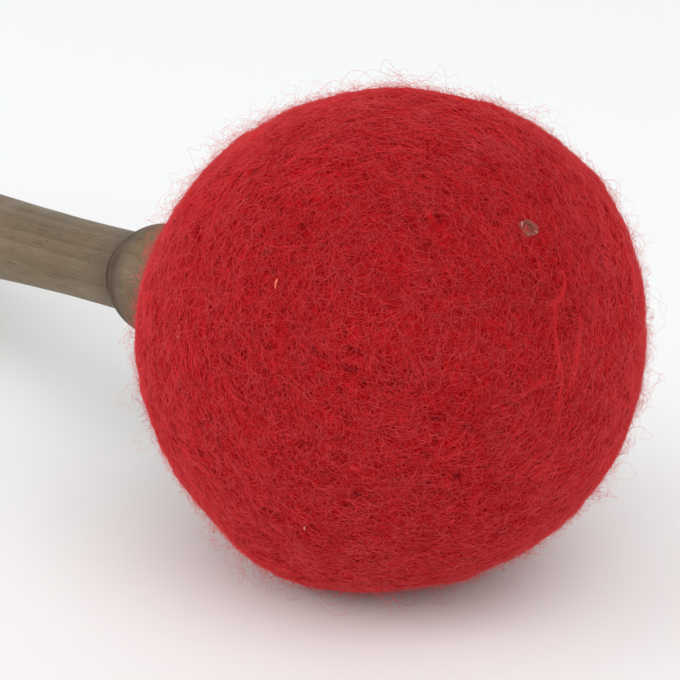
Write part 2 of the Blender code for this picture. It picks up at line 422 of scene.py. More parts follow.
def flattened(vectors, directions):
    """The unit part of each vector that lies along the surface."""
    vectors = vectors - directions * (vectors * directions).sum(1)[:, None]
    return vectors / np.maximum(np.linalg.norm(vectors, axis=1), 1e-9)[:, None]


fold_lines = [(rise, *fold_line(places)) for rise, *places in FOLDS]


def folded(directions):
    """The height of the folds, and along them with a length that is their share of the heading."""
    height = np.zeros(len(directions))
    heading = np.zeros((len(directions), 3))
    for rise, line, runs, left in fold_lines:
        nearness = directions @ line.T
        nearest = nearness.argmax(1)
        off = 2 * (1 - nearness.max(1)) * HEAD_RADIUS**2
        height += rise * left[nearest] * np.exp(-off / FOLD_WIDTH**2)
        share = left[nearest] * np.exp(-off / (2 * FOLD_WIDTH) ** 2)
        heading += share[:, None] * runs[nearest]
    return height, heading


print("folds:", len(fold_lines))

# %% [markdown]
# ## Meshes from arrays
#
# There will be over a million vertices, far too many to add one at a time. Blender lets a script
# fill a mesh straight from numpy arrays, which takes a fraction of a second.


# %% Mesh helpers
def mesh_from_arrays(name, points, faces):
    """points is (n, 3), in the mallet's axes. faces is a list of arrays, each (m, corners)."""
    corners = np.concatenate([part.ravel() for part in faces])
    sizes = np.concatenate([np.full(len(part), part.shape[1]) for part in faces])
    mesh = bpy.data.meshes.new(name)
    mesh.vertices.add(len(points))
    mesh.vertices.foreach_set("co", lay_down(points).astype(np.float32).ravel())
    mesh.loops.add(len(corners))
    mesh.loops.foreach_set("vertex_index", corners.astype(np.int32))
    mesh.polygons.add(len(sizes))
    starts = np.concatenate([[0], np.cumsum(sizes)[:-1]])
    mesh.polygons.foreach_set("loop_start", starts.astype(np.int32))
    mesh.update(calc_edges=True)
    mesh.shade_smooth()
    return mesh


def band_faces(rings, sides):
    """Quads between each ring of vertices and the next."""
    first = np.arange(rings - 1)[:, None] * sides
    side = np.arange(sides)[None, :]
    after = (side + 1) % sides
    quads = np.stack([first + side, first + sides + side, first + sides + after, first + after], 2)
    return quads.reshape(-1, 4)


def end_cap(tip, ring, sides, flip):
    """Triangles from a tip vertex to a ring that starts at vertex number ring."""
    side = np.arange(sides)
    fan = np.stack([np.full(sides, tip), ring + side, ring + (side + 1) % sides], 1)
    return fan[:, ::-1] if flip else fan


def give_points(mesh, name, values):
    """Stores one number for each vertex, for a material to read."""
    layer = mesh.attributes.new(name, "FLOAT", "POINT")
    layer.data.foreach_set("value", values.astype(np.float32))


def corner_owners(mesh):
    """The vertex and the face that each face corner belongs to."""
    vertex = np.empty(len(mesh.loops), np.int32)
    mesh.loops.foreach_get("vertex_index", vertex)
    size = np.empty(len(mesh.polygons), np.int32)
    mesh.polygons.foreach_get("loop_total", size)
    return vertex, np.repeat(np.arange(len(size)), size)


def give_map(mesh, places):
    """places is (u, v) for each face corner."""
    layer = mesh.uv_layers.new(name="OFBake")
    layer.uv.foreach_set("vector", places.astype(np.float32).ravel())


# %% [markdown]
# ## The ball
#
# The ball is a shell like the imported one: an outer skin that follows the formula, a square-cut
# mouth round the collar and a smooth hollow inside. Fine pits go into the skin itself, because felt
# is full of little dark hollows between its tufts, and a render shows those as real shade.
#
# The ball lies on the table, so whatever of it would sink in is pressed flat just above.

# %% Ball mesh
BALL_SIDES = 440
BALL_RINGS = 198
HOLLOW_RINGS = 10
NECK_HOLE_RADIUS = 8.3 * MM
SKIN_DEPTH = 0.26 * MM
PITS = ((3.2 * MM, 0.16 * MM), (1.7 * MM, 0.16 * MM), (1.25 * MM, 0.08 * MM))
PIT_SEED = 10
PIT_RIM = -0.3
TABLE_CLEARANCE = 0.07 * MM


def above_table(points):
    """Points in the mallet's axes, lifted where they would sink into the table."""
    placed = lay_down(points)
    placed[:, 2] = np.maximum(placed[:, 2], TABLE_CLEARANCE)
    return pick_up(placed)


def ring_directions(angles, sides):
    """Unit directions, (rings * sides, 3), for angles from +X."""
    turn = np.linspace(0, math.tau, sides, endpoint=False)
    angles, turn = np.meshgrid(angles, turn, indexing="ij")
    parts = [np.cos(angles), np.sin(angles) * np.cos(turn), np.sin(angles) * np.sin(turn)]
    return np.stack(parts, 2).reshape(-1, 3)


def skin_points(directions):
    radius = surface_radius(directions) + folded(directions)[0] - SKIN_DEPTH
    radius -= HOLLOW_DEPTH * hollows(directions)
    for seed, (wavelength, depth) in enumerate(PITS, start=PIT_SEED):
        pit = ripples(directions * HEAD_RADIUS, wavelength, seed)
        radius -= depth * np.clip(pit, PIT_RIM, None)
    return directions * radius[:, None]


def felt_ball():
    inner_radius = HEAD_RADIUS - FELT_THICKNESS
    outer_angles = np.linspace(0, math.pi - mouth_angle, BALL_RINGS + 1)
    neck_angle = math.pi - math.asin(NECK_HOLE_RADIUS / inner_radius)
    inner_angles = np.linspace(neck_angle, 0, HOLLOW_RINGS + 1)
    outer = skin_points(ring_directions(outer_angles[1:], BALL_SIDES))
    outer[-BALL_SIDES:, 0] = -mouth_face
    tip = skin_points(np.array([[1.0, 0, 0]]))
    mouth = ring_directions([math.pi / 2], BALL_SIDES) * NECK_HOLE_RADIUS - [mouth_face, 0, 0]
    hollow = ring_directions(inner_angles[:-1], BALL_SIDES) * inner_radius
    floor = np.array([[inner_radius, 0, 0]])
    points = np.concatenate([above_table(outer), mouth, hollow, tip, floor])
    rings = BALL_RINGS + 1 + HOLLOW_RINGS
    tip_at, floor_at = rings * BALL_SIDES, rings * BALL_SIDES + 1
    faces = [
        band_faces(rings, BALL_SIDES),
        end_cap(tip_at, 0, BALL_SIDES, flip=False),
        end_cap(floor_at, (rings - 1) * BALL_SIDES, BALL_SIDES, flip=True),
    ]
    mesh = mesh_from_arrays("felt_ball", points, faces)
    give_points(mesh, "hollow", hollows(points / np.linalg.norm(points, axis=1)[:, None]))
    give_ball_map(mesh, points, inner_radius + FELT_THICKNESS / 2)
    return mesh


# %% [markdown]
# A bake needs the skin laid out flat. An octahedron opened out does that well for a ball: the near
# half is a diamond in the middle of the square, and the far half folds out to its corners. The
# hollow gets a small tile of its own, so that it can't be drawn over the skin.

# %% The ball's map
HOLLOW_TILE = 0.08


def octahedral(directions, sides):
    """Places on a square. sides says on which side of each axis a corner's whole face lies."""
    flat = directions / np.abs(directions).sum(1)[:, None]
    y, z = flat[:, 1], flat[:, 2]
    side_y, side_z = np.where(sides[:, 1] < 0, -1, 1), np.where(sides[:, 2] < 0, -1, 1)
    far = sides[:, 0] < 0
    u = np.where(far, (1 - z * side_z) * side_y, y)
    v = np.where(far, (1 - y * side_y) * side_z, z)
    return (np.stack([u, v], 1) + 1) / 2


def give_ball_map(mesh, points, skin_radius):
    vertex, face = corner_owners(mesh)
    length = np.linalg.norm(points, axis=1)
    directions = (points / length[:, None])[vertex]
    middles = np.stack([np.bincount(face, directions[:, i]) for i in range(3)], 1)
    places = octahedral(directions, middles[face])
    on_skin = (np.bincount(face, length[vertex]) / np.bincount(face) > skin_radius)[face]
    skin_places = HOLLOW_TILE + (1 - HOLLOW_TILE) * places
    give_map(mesh, np.where(on_skin[:, None], skin_places, HOLLOW_TILE * places))


ball = link(felt_ball())
print(f"ball: {len(ball.data.polygons)} faces")

# %% [markdown]
# ## Fibres
#
# Wool fibres are curly, a few hundredths of a millimetre thick, and lie mostly flat in the felt.
# Hair systems would draw them, but a mesh can be exported and keeps its place. So each fibre is a
# three-sided tube.
#
# First it needs a root and a heading. Most headings follow, loosely, the swirl that rolling the
# wool between two palms leaves. They veer together from place to place, and fibres come in small
# locks that lie side by side. Few start in a hollow, and none under the collar. Some follow the
# folds. The thin wisps stand where the photograph's outline has them, in degrees counted from the
# right. The three ways to start take the same values, so that any layer can use any of them.

# %% Roots and headings
VEER = 0.4
VEER_LENGTH = 15 * MM
VEER_SEED = 70
LOCK_SPREAD = 0.25
HOLLOW_GAP = 0.7
WISP_TURNS = (150, 147, 131, 128, 126, 117, 106, 87, 84, 62, 26, 344, 233)
WISP_SPREAD = 5
WISP_DEPTH = math.radians(13)


def scattered(count, rng):
    """Unit directions, even over the ball."""
    directions = rng.normal(size=(count, 3))
    return directions / np.linalg.norm(directions, axis=1)[:, None]


def turned(vectors, about, angles):
    """vectors, each square to its unit axis, turned about that axis."""
    return vectors * np.cos(angles)[:, None] + np.cross(about, vectors) * np.sin(angles)[:, None]


def locks(count, per_lock, width, stray, rng):
    """Roots and headings for fibres that come in small side-by-side locks."""
    wanted = math.ceil(count / per_lock)
    centres = scattered(2 * wanted, rng)
    centres = centres[centres[:, 0] > -math.cos(mouth_angle)]
    centres = centres[rng.random(len(centres)) > HOLLOW_GAP * hollows(centres)][:wanted]
    round_swirl = flattened(np.cross(SWIRL_CENTRE, centres), centres)
    veer = VEER * ripples(centres * HEAD_RADIUS, VEER_LENGTH, VEER_SEED)
    headings = turned(round_swirl, centres, veer + rng.normal(0, stray, len(centres)))
    on_fold = folded(centres)[1]
    headings = headings * (1 - np.linalg.norm(on_fold, axis=1).clip(0, 1))[:, None] + on_fold
    centres = np.repeat(centres, per_lock, 0)[:count]
    headings = np.repeat(headings, per_lock, 0)[:count]
    roots = centres + rng.normal(0, width / HEAD_RADIUS, (count, 3))
    roots /= np.linalg.norm(roots, axis=1)[:, None]
    return roots, turned(flattened(headings, roots), roots, rng.normal(0, LOCK_SPREAD, count))


def on_folds(count, per_lock, width, stray, rng):
    """Roots and headings for fibres that run along the folds, more of them on a higher fold."""
    line = np.concatenate([line for _, line, _, _ in fold_lines])
    runs = np.concatenate([runs for _, _, runs, _ in fold_lines])
    share = np.concatenate([rise * left for rise, _, _, left in fold_lines])
    chosen = rng.choice(len(line), count, p=share / share.sum())
    roots = line[chosen] + rng.normal(0, width / HEAD_RADIUS, (count, 3))
    roots /= np.linalg.norm(roots, axis=1)[:, None]
    return roots, turned(flattened(runs[chosen], roots), roots, rng.normal(0, stray, count))


def on_outline_spots(count, per_lock, width, stray, rng):
    """Roots and headings for wisps on the photo's outline, where the photo shows them."""
    turns = rng.choice(WISP_TURNS, count) + rng.normal(0, WISP_SPREAD, count)
    towards = np.array([on_outline(degrees) for degrees in turns])
    depth = rng.normal(0, WISP_DEPTH, (count, 1))
    roots = towards * np.cos(depth) + np.array(towards_camera) @ turn_down * np.sin(depth)
    headings = flattened(rng.normal(size=(count, 3)), roots)
    return roots, turned(headings, roots, rng.normal(0, stray, count))


# %% [markdown]
# From its root a fibre walks over the sphere in short steps. It keeps its heading but sways about
# it, which is the crimp of wool, and some headings bend steadily into a curl.


# %% Walking over the ball
def walk(roots, headings, lengths, sway, crimp, curl, steps, rng):
    """(fibres, steps + 1, 3) unit directions along each fibre.

    sway is how far a fibre leans off its heading, in radians, and crimp how far it goes before
    it leans another way. curl is how tightly the heading itself bends, in turns per metre.
    """
    here, ahead = roots, headings
    stride = lengths / steps
    arc = (stride / HEAD_RADIUS)[:, None]
    bend = rng.normal(0, curl, len(roots)) * math.tau * stride
    keep = np.exp(-stride / crimp)
    lean = rng.normal(0, sway, len(roots))
    path = [here]
    for _ in range(steps):
        here = here * np.cos(arc) + turned(ahead, here, lean) * np.sin(arc)
        ahead = turned(flattened(ahead, here), here, bend)
        lean = keep * lean + np.sqrt(1 - keep**2) * rng.normal(0, sway, len(roots))
        path.append(here)
    return np.stack(path, 1)


# %% [markdown]
# A path of directions becomes a fibre when each point gets its height over the felt. The tube is
# thinner towards both ends. Points that would come under the collar are slid out past its rim,
# and points that would go through the table are lifted, so that fibres pile up there as real
# ones do.
#
# A fibre's colour will depend on two numbers only: its tone, one for each fibre, and its lift, from
# 0 at a buried end to 1 at its highest. So its map is a colour chart. Each tone has a column, the
# way along the fibre runs up it, and any number of fibres can share the column without harm.

# %% Tubes
TUBE_SIDES = 3
COLLAR_CLEARANCE = 0.15 * MM
RIM_SPREAD = 0.9 * MM
END_THINNING = 0.8
TONES = 32
MOST_TONE = 0.999
COLUMN_MARGIN = 0.15


def clear_of_collar(points, spread):
    """Points under the collar, slid over the felt to just past its rim. spread is 0 to 1."""
    across = np.hypot(points[:, 1], points[:, 2])
    rim = MOUTH_RADIUS + COLLAR_CLEARANCE + RIM_SPREAD * spread
    under = (points[:, 0] < 0) & (across < rim)
    out = np.sqrt((points**2).sum(1) - rim**2)
    points[under, 1:] *= (rim / np.maximum(across, GAP))[under, None]
    points[under, 0] = -out[under]
    return points


def tube_points(path, outward, thickness):
    """(fibres, points, sides, 3) corners of the tubes along a path."""
    along = np.gradient(path, axis=1)
    along /= np.maximum(np.linalg.norm(along, axis=2), 1e-9)[:, :, None]
    out = outward - along * (outward * along).sum(2)[:, :, None]
    out /= np.maximum(np.linalg.norm(out, axis=2), 1e-9)[:, :, None]
    side = np.cross(along, out)
    share = np.linspace(-1, 1, path.shape[1])
    half = thickness[:, None, None] / 2 * np.sqrt(1 - END_THINNING * share**2)[None, :, None]
    corners = []
    for i in range(TUBE_SIDES):
        angle = math.pi / 2 + math.tau * i / TUBE_SIDES
        corners.append(path + (out * math.sin(angle) + side * math.cos(angle)) * half)
    return np.stack(corners, 2)


def tube_faces(count, length):
    """Faces for tubes of length points, one triangle at each end."""
    last = (length - 1) * TUBE_SIDES
    one_tube = band_faces(length, TUBE_SIDES)
    start = end_cap(0, 0, TUBE_SIDES, flip=False)[1:2]
    end = end_cap(last, last, TUBE_SIDES, flip=True)[1:2]
    first = (np.arange(count) * length * TUBE_SIDES)[:, None, None]
    return [(first + part[None]).reshape(-1, part.shape[1]) for part in (one_tube, start, end)]


def give_chart(mesh, tones, lifts):
    """A tone for each tube and a lift for each point of its path."""
    tones = np.floor(tones * TONES)
    columns = np.linspace(COLUMN_MARGIN, 1 - COLUMN_MARGIN, TUBE_SIDES)
    u = (tones[:, None, None] + columns[None, None, :]) / TONES
    places = np.stack(np.broadcast_arrays(u, lifts[:, :, None]), 3).reshape(-1, 2)
    give_map(mesh, places[corner_owners(mesh)[0]])
    give_points(mesh, "tone", np.repeat((tones + 0.5) / TONES, lifts.shape[1] * TUBE_SIDES))
    give_points(mesh, "lift", np.repeat(lifts.ravel(), TUBE_SIDES))


def fibre_mesh(name, directions, heights, lifts, tones, thickness, sag, rng):
    count, length = directions.shape[:2]
    flat = directions.reshape(-1, 3)
    radius = surface_radius(flat) + folded(flat)[0] + heights.ravel()
    radius -= sag * HOLLOW_DEPTH * hollows(flat)
    spread = np.repeat(rng.random(count), length)
    path = above_table(clear_of_collar(flat * radius[:, None], spread)).reshape(count, length, 3)
    corners = tube_points(path, directions, thickness)
    mesh = mesh_from_arrays(name, corners.reshape(-1, 3), tube_faces(count, length))
    give_chart(mesh, tones, lifts)
    return mesh


# %% [markdown]
# ## The layers of fibre
#
# Felt reads as felt because one sees into it, so the fibres come in layers. Each fibre of a layer
# arches up from the felt, and some keep one end free. A fibre on a fold is painted paler, a painted
# highlight, and one in a hollow darker, painted shade. The dye took in patches, so neighbouring
# fibres are alike. A layer is made of several pieces where one mesh would be too heavy to export.

# %% One layer of fibres
MOST_FACES = 190_000
PATCHES = ((3.2 * MM, 0.28), (9 * MM, 0.22))
PATCH_SEED = 60
PATCH_SHARE = 0.45
FOLD_HIGHLIGHT = 0.45
HOLLOW_SHADE = 0.6
ARCH_POWER = 0.7
FREE_END_POWER = 1.3
WOBBLE = 0.2


def mm(*sizes):
    return tuple(size * MM for size in sizes)


def dye_patches(directions):
    """A patchy tone from 0 to 1."""
    tone = np.full(len(directions), 0.5)
    for seed, (wavelength, share) in enumerate(PATCHES, start=PATCH_SEED):
        tone += share * ripples(directions * HEAD_RADIUS, wavelength, seed)
    return np.clip(tone, 0, MOST_TONE)


def fibre_tones(roots, pale, rng):
    tones = (1 - PATCH_SHARE) * rng.random(len(roots)) + PATCH_SHARE * dye_patches(roots) + pale
    # painted highlight on the folds and painted shade in the hollows
    tones += FOLD_HIGHLIGHT * folded(roots)[0] / FOLDS[0][0] - HOLLOW_SHADE * hollows(roots)
    return np.clip(tones, 0, MOST_TONE)


def fibre_layer(
    name, pieces, seed, length, sway, crimp, curl, low, rise, thickness, starts=locks,
    width=0.55 * MM, stray=0.45, per_lock=3, loose=0.0, sag=0.0, pale=0.0, steps=10, count=None,
):
    """Ranges are in metres, from least to most.

    low is the height of a fibre's ends over the felt, and rise how far its middle stands above
    them. loose is the share of fibres with one end standing free, sag how far they follow a
    hollow down, and pale what is added to their tone.
    """
    count = count or MOST_FACES // (2 * TUBE_SIDES * steps + 2)
    made = []
    for i in range(pieces):
        rng = np.random.default_rng(seed + i)
        roots, headings = starts(count, per_lock, width, stray, rng)
        lengths = rng.uniform(*length, count)
        directions = walk(roots, headings, lengths, sway, crimp, curl, steps, rng)
        share = np.linspace(0, 1, steps + 1)[None, :]
        arch = np.sin(math.pi * share) ** ARCH_POWER
        lifts = np.where(rng.random((count, 1)) < loose, share**FREE_END_POWER, arch)
        swing = rng.uniform(1, 3, (count, 1)) * share + rng.random((count, 1))
        floor = rng.uniform(*low, (count, 1))
        top = rise[0] + (rise[1] - rise[0]) * rng.random((count, 1)) ** 2
        heights = floor + top * lifts + WOBBLE * top * lifts * np.sin(math.tau * swing)
        widths = rng.uniform(*thickness, count)
        tones = fibre_tones(roots, pale, rng)
        mesh = fibre_mesh(f"{name}_{i + 1}", directions, heights, lifts, tones, widths, sag, rng)
        made.append(link(mesh))
    faces = sum(len(piece.data.polygons) for piece in made)
    print(f"{name}: {pieces * count} fibres, {faces} faces")
    return made


# %% [markdown]
# Low down lies a dense mat of thick, flat fibres. Over it comes the nap, finer and more curled,
# which is most of what one sees. Cords show where many fibres run together, and along the folds.

# %% Mat, nap and cords
mat = fibre_layer(
    "felt_mat", 4, seed=100, length=mm(3.5, 8), sway=0.3, crimp=1.0 * MM, curl=20,
    low=mm(-0.30, -0.10), rise=mm(0.02, 0.2), thickness=mm(0.09, 0.15),
    sag=0.85,
)
nap = fibre_layer(
    "felt_nap", 11, seed=200, length=mm(2.2, 6.0), sway=0.48, crimp=0.7 * MM, curl=60,
    low=mm(-0.20, 0.0), rise=mm(0.05, 0.42), thickness=mm(0.038, 0.068),
    stray=0.6, per_lock=2, loose=0.1, sag=0.35,
)
cords = fibre_layer(
    "felt_cords", 1, seed=250, length=mm(6, 14), sway=0.15, crimp=2.0 * MM, curl=12,
    low=mm(-0.12, 0.03), rise=mm(0.1, 0.3), thickness=mm(0.05, 0.09),
    width=0.22 * MM, stray=0.2, per_lock=10, sag=0.3, pale=0.16, steps=20,
)
cords += fibre_layer(
    "fold_cords", 1, seed=260, length=mm(1.5, 3.5), sway=0.25, crimp=1.0 * MM, curl=10,
    low=mm(-0.1, 0.1), rise=mm(0.05, 0.25), thickness=mm(0.05, 0.08),
    starts=on_folds, width=0.13 * MM, stray=0.15, count=420,
)

# %% [markdown]
# What softens the outline stands off the ball: a haze of short fuzz all over it, a few loose loops
# that fly off, and the long thin wisps that the photograph shows in clusters round the edge.

# %% Fuzz, flyaways and wisps
fuzz = fibre_layer(
    "felt_fuzz", 6, seed=300, length=mm(1.2, 3.6), sway=0.5, crimp=1.0 * MM, curl=80,
    low=mm(-0.1, 0.05), rise=mm(0.2, 1.5), thickness=mm(0.020, 0.034),
    stray=1.0, per_lock=1, loose=0.5, steps=7,
)
flyaways = fibre_layer(
    "felt_flyaways", 1, seed=400, length=mm(5, 11), sway=0.8, crimp=3.0 * MM, curl=90,
    low=mm(-0.1, 0.05), rise=mm(0.8, 3.8), thickness=mm(0.026, 0.042),
    stray=1.0, per_lock=2, loose=0.3, steps=44, count=620,
)
flyaways += fibre_layer(
    "felt_wisps", 1, seed=500, length=mm(5, 15), sway=0.15, crimp=5.0 * MM, curl=80,
    low=mm(-0.1, 0.05), rise=mm(0.7, 3.4), thickness=mm(0.018, 0.028),
    starts=on_outline_spots, stray=1.0, per_lock=1, loose=0.1, steps=44, count=380,
)

# %% [markdown]
# A few loops have slipped out under the ball and rest on the paper. The photo shows where. Each is
# part of a circle that stands on its lowest point: its place in the photo, its radius, and the
# angle where it starts and how far it goes round, in degrees.

# %% Loops on the paper
LOOPS = (
    ((334, 616), 1.75 * MM, -190, 215),
    ((403, 606), 1.65 * MM, -250, 330),
    ((444, 603), 2.0 * MM, -165, 130),
    ((294, 600), 1.0 * MM, -210, 250),
    ((262, 577), 1.3 * MM, -200, 230),
)
LOOP_STEPS = 40
LOOP_THICKNESS = 0.036 * MM
LOOP_OVAL = 0.25
LOOP_TONE = 0.5
LOOP_LEAST_LIFT = 0.8


def on_table(photo_x, photo_y):
    ray = camera.matrix_world.to_3x3() @ photo_ray(photo_x, photo_y)
    return camera.location - ray * (camera.location.z - TABLE_CLEARANCE) / ray.z


def loops_on_paper():
    paths = []
    for place, radius, start, sweep in LOOPS:
        middle = on_table(*place) + camera_up * radius
        angles = np.radians(np.linspace(start, start + sweep, LOOP_STEPS))
        reach = radius * (1 + LOOP_OVAL * np.cos(2 * angles + place[0]))
        points = np.outer(reach * np.cos(angles), camera_right)
        points += np.outer(reach * np.sin(angles), camera_up)
        paths.append(above_table(pick_up(points + np.array(middle))))
    paths = np.stack(paths)
    outward = np.broadcast_to(np.array(towards_camera) @ turn_down, paths.shape)
    corners = tube_points(paths, outward, np.full(len(LOOPS), LOOP_THICKNESS))
    faces = tube_faces(len(LOOPS), LOOP_STEPS)
    mesh = mesh_from_arrays("loops_on_paper", corners.reshape(-1, 3), faces)
    lifts = np.linspace(LOOP_LEAST_LIFT, 1, LOOP_STEPS)
    give_chart(mesh, np.full(len(LOOPS), LOOP_TONE), np.tile(lifts, (len(LOOPS), 1)))
    return link(mesh)


flyaways.append(loops_on_paper())
print("loops on the paper:", len(LOOPS))

# %% [markdown]
# ## Things caught in the wool
#
# Raw wool brings bits of the field with it. The photo shows a seed husk high on the right, a sliver
# of straw on the left, two pale crumbs of chaff and two splinters of it beside the husk. They are
# small, but they are what the eye finds first on an even surface. Each needs a frame of its own: a
# place on the felt, and which way is along it, across it and out of the ball.


# %% A place on the felt
def surface_frame(photo_place, turn):
    """Where a thing lies on the felt, and its along, across and out directions."""
    out = on_head(*photo_place)
    up = flattened(np.array(laid_down.to_3x3().inverted() @ camera_up)[None], out[None])
    along = turned(up, out[None], np.array([turn]))[0]
    return out * surface_radius(out[None])[0], along, np.cross(out, along), out


# %% [markdown]
# The husk is the empty case of a seed, a shallow cup with a torn rim. It starts as a ball, gets
# rough, and is pressed in where it faces outwards. Its mesh carries how deep each point lies.

# %% Husk
HUSK_RINGS = 34
HUSK_SIDES = 48
HUSK_PLACE = (527, 229)
HUSK_TURN = math.radians(75)
HUSK_LENGTH = 2.9 * MM
HUSK_WIDTH = 2.4 * MM
HUSK_THICKNESS = 1.3 * MM
HUSK_SUNK = 0.12 * MM
HUSK_CUP = 0.45
HUSK_PRESS = 1.25
HUSK_ROUGHNESS = ((1.1, 0.20), (0.45, 0.10))
HUSK_SEED = 40
CUP_DARKNESS = 1.6
ROUGH_DARKNESS = 0.7
LEAST_DARKNESS = 0.1


def husk():
    place, along, across, out = surface_frame(HUSK_PLACE, HUSK_TURN)
    place = place - out * HUSK_SUNK
    angles = np.linspace(0, math.pi, HUSK_RINGS + 2)[1:-1]
    directions = ring_directions(angles, HUSK_SIDES)
    directions = np.concatenate([directions, [[1.0, 0, 0], [-1.0, 0, 0]]])
    rim = np.hypot(directions[:, 1], directions[:, 2])
    rough = np.zeros(len(directions))
    for seed, (wavelength, height) in enumerate(HUSK_ROUGHNESS, start=HUSK_SEED):
        rough += height * ripples(directions, wavelength, seed)
    cup = np.where(directions[:, 0] > 0, HUSK_CUP * np.clip(1 - rim**2, 0, 1), 0)
    local = directions * (1 + rough)[:, None]
    local[:, 0] -= HUSK_PRESS * cup
    points = place + (
        out * local[:, :1] * HUSK_THICKNESS / 2
        + along * local[:, 1:2] * HUSK_LENGTH / 2
        + across * local[:, 2:] * HUSK_WIDTH / 2
    )
    tips = HUSK_RINGS * HUSK_SIDES
    faces = [
        band_faces(HUSK_RINGS, HUSK_SIDES),
        end_cap(tips, 0, HUSK_SIDES, flip=False),
        end_cap(tips + 1, tips - HUSK_SIDES, HUSK_SIDES, flip=True),
    ]
    mesh = mesh_from_arrays("seed_husk", points, faces)
    depth = CUP_DARKNESS * cup + ROUGH_DARKNESS * rough + LEAST_DARKNESS
    give_points(mesh, "depth", np.clip(depth, 0, 1))
    return link(mesh)


seed_husk = husk()
print(f"husk: {len(seed_husk.data.polygons)} faces")

# %% [markdown]
# A chip is a bent leaf with pointed ends. The list gives its name, its place in the photo, its turn
# in degrees, and then in millimetres its length, width and thickness, how far it is bowed, and how
# far it stands over the felt.

# %% Chips
CHIP_RINGS = 13
CHIP_SIDES = 12
CHIP_POINT = 2.2
CHIP_LEAST = 0.004
CHIPS = (
    ("straw_sliver", (277, 284), -6, (1.5, 0.34, 0.12, 0.10, 0.22)),
    ("chaff_1", (306, 526), -20, (0.80, 0.26, 0.12, 0.10, 0.34)),
    ("chaff_2", (181, 337), 20, (0.42, 0.26, 0.12, 0.03, 0.20)),
    ("chaff_3", (533, 234), 60, (0.6, 0.22, 0.10, 0.04, 0.34)),
    ("chaff_4", (520, 226), -20, (1.0, 0.22, 0.10, 0.10, 0.36)),
)


def chip(name, photo_place, turn, length, width, thickness, bow, rise):
    place, along, across, out = surface_frame(photo_place, turn)
    share = np.linspace(-1, 1, CHIP_RINGS)
    round_turn = np.linspace(0, math.tau, CHIP_SIDES, endpoint=False)
    taper = np.sqrt(np.clip(1 - np.abs(share) ** CHIP_POINT, CHIP_LEAST, 1))
    points = []
    for s, t in zip(share, taper):
        middle = place + along * s * length / 2
        middle = middle + across * bow * (1 - s * s) + out * (rise - bow * s * s)
        ring = across * np.cos(round_turn)[:, None] * width / 2 * t
        ring = ring + out * np.sin(round_turn)[:, None] * thickness / 2 * t
        points.append(middle + ring)
    points = np.concatenate(points)
    first_end = np.arange(CHIP_SIDES)
    last_end = np.arange(len(points) - CHIP_SIDES, len(points))
    faces = [band_faces(CHIP_RINGS, CHIP_SIDES)[:, ::-1], first_end[None, :], last_end[None, ::-1]]
    return link(mesh_from_arrays(name, points, faces))


straw, *chaff = [
    chip(name, place, math.radians(turn), *mm(*sizes)) for name, place, turn, sizes in CHIPS
]
print("chips in the wool:", 1 + len(chaff))

# %% [markdown]
# ## The turned handle
#
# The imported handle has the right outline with 32 flat sides. Close up those show, so a finer one
# replaces it: the same cuts in the same places, but 128 sides, more points on each curve and the
# slight waver of a hand-held tool. A turned outline is a list of (x, radius) points, and each cut
# of the lathe is a small function that adds its own.


# %% Cuts of the lathe
def straight(start, end, radius):
    """A plain cylinder."""
    return [(start, radius), (end, radius)]


def cove(start, end, start_radius, end_radius, count=14):
    """A quarter hollow that starts steep and ends level."""
    angles = np.linspace(0, math.pi / 2, count + 1)
    x = start + (end - start) * (1 - np.cos(angles))
    return list(zip(x, start_radius + (end_radius - start_radius) * np.sin(angles)))


def swell(start, end, start_radius, end_radius, count=60):
    """A smooth S between two radii, level at both ends."""
    share = np.linspace(0, 1, count + 1)
    radius = start_radius + (end_radius - start_radius) * (1 - np.cos(math.pi * share)) / 2
    return list(zip(start + (end - start) * share, radius))


def bead(start, end, foot, rise, count=26):
    """A rounded ring, the part of a circle that passes through both feet and the crest."""
    half = (start - end) / 2
    circle = (half**2 + rise**2) / (2 * rise)
    reach = math.asin(min(1, half / circle))
    angles = np.linspace(reach, -reach, count + 1)
    radius = foot + rise - circle * (1 - np.cos(angles))
    return list(zip((start + end) / 2 + circle * np.sin(angles), radius))


def groove(start, end, radius, depth, count=8):
    """A cut with a round bottom."""
    share = np.linspace(0, 1, count + 1)
    return list(zip(start + (end - start) * share, radius - depth * np.sin(math.pi * share)))


# %% [markdown]
# The sizes are those of the imported handle, from the head to the butt. The tenon's end, the core's
# faces and the wedge's end come from the imported pieces, so that what fits inside the head still
# fits. The cuts follow each other in a list, and the middles of the narrow grooves are kept, since
# the dirt and the painted shade go there.

# %% Handle outline
TENON_RADIUS = 5.5 * MM
STUB_RADIUS = 8.0 * MM
FLANGE_RADIUS = 12.5 * MM
FLANGE_THICKNESS = 3.2 * MM
COVE_LENGTH = 12.5 * MM
COVE_RADIUS = 7.4 * MM
RING_LENGTH = 3.6 * MM
RING_RISE = 1.4 * MM
GROOVE_WIDTH = 1.4 * MM
GROOVE_DEPTH = 0.6 * MM
BEAD_LENGTH = 14.0 * MM
BEAD_RISE = 2.6 * MM
NECK_RADIUS = 7.15 * MM
NECK_LENGTH = 8.5 * MM
SWELL_LENGTH = 100.0 * MM
GRIP_RADIUS = 9.6 * MM
TAPER_LENGTH = 42.0 * MM
TAIL_RADIUS = 8.3 * MM
TAIL_RING_LENGTH = 4.6 * MM
TAIL_RING_RISE = 1.5 * MM
POMMEL_NECK_RADIUS = 6.8 * MM
BUTT_FACE_DEPTH = 0.6 * MM
POMMEL_POINTS = 36
RIM_ROUND = FLANGE_THICKNESS / 2
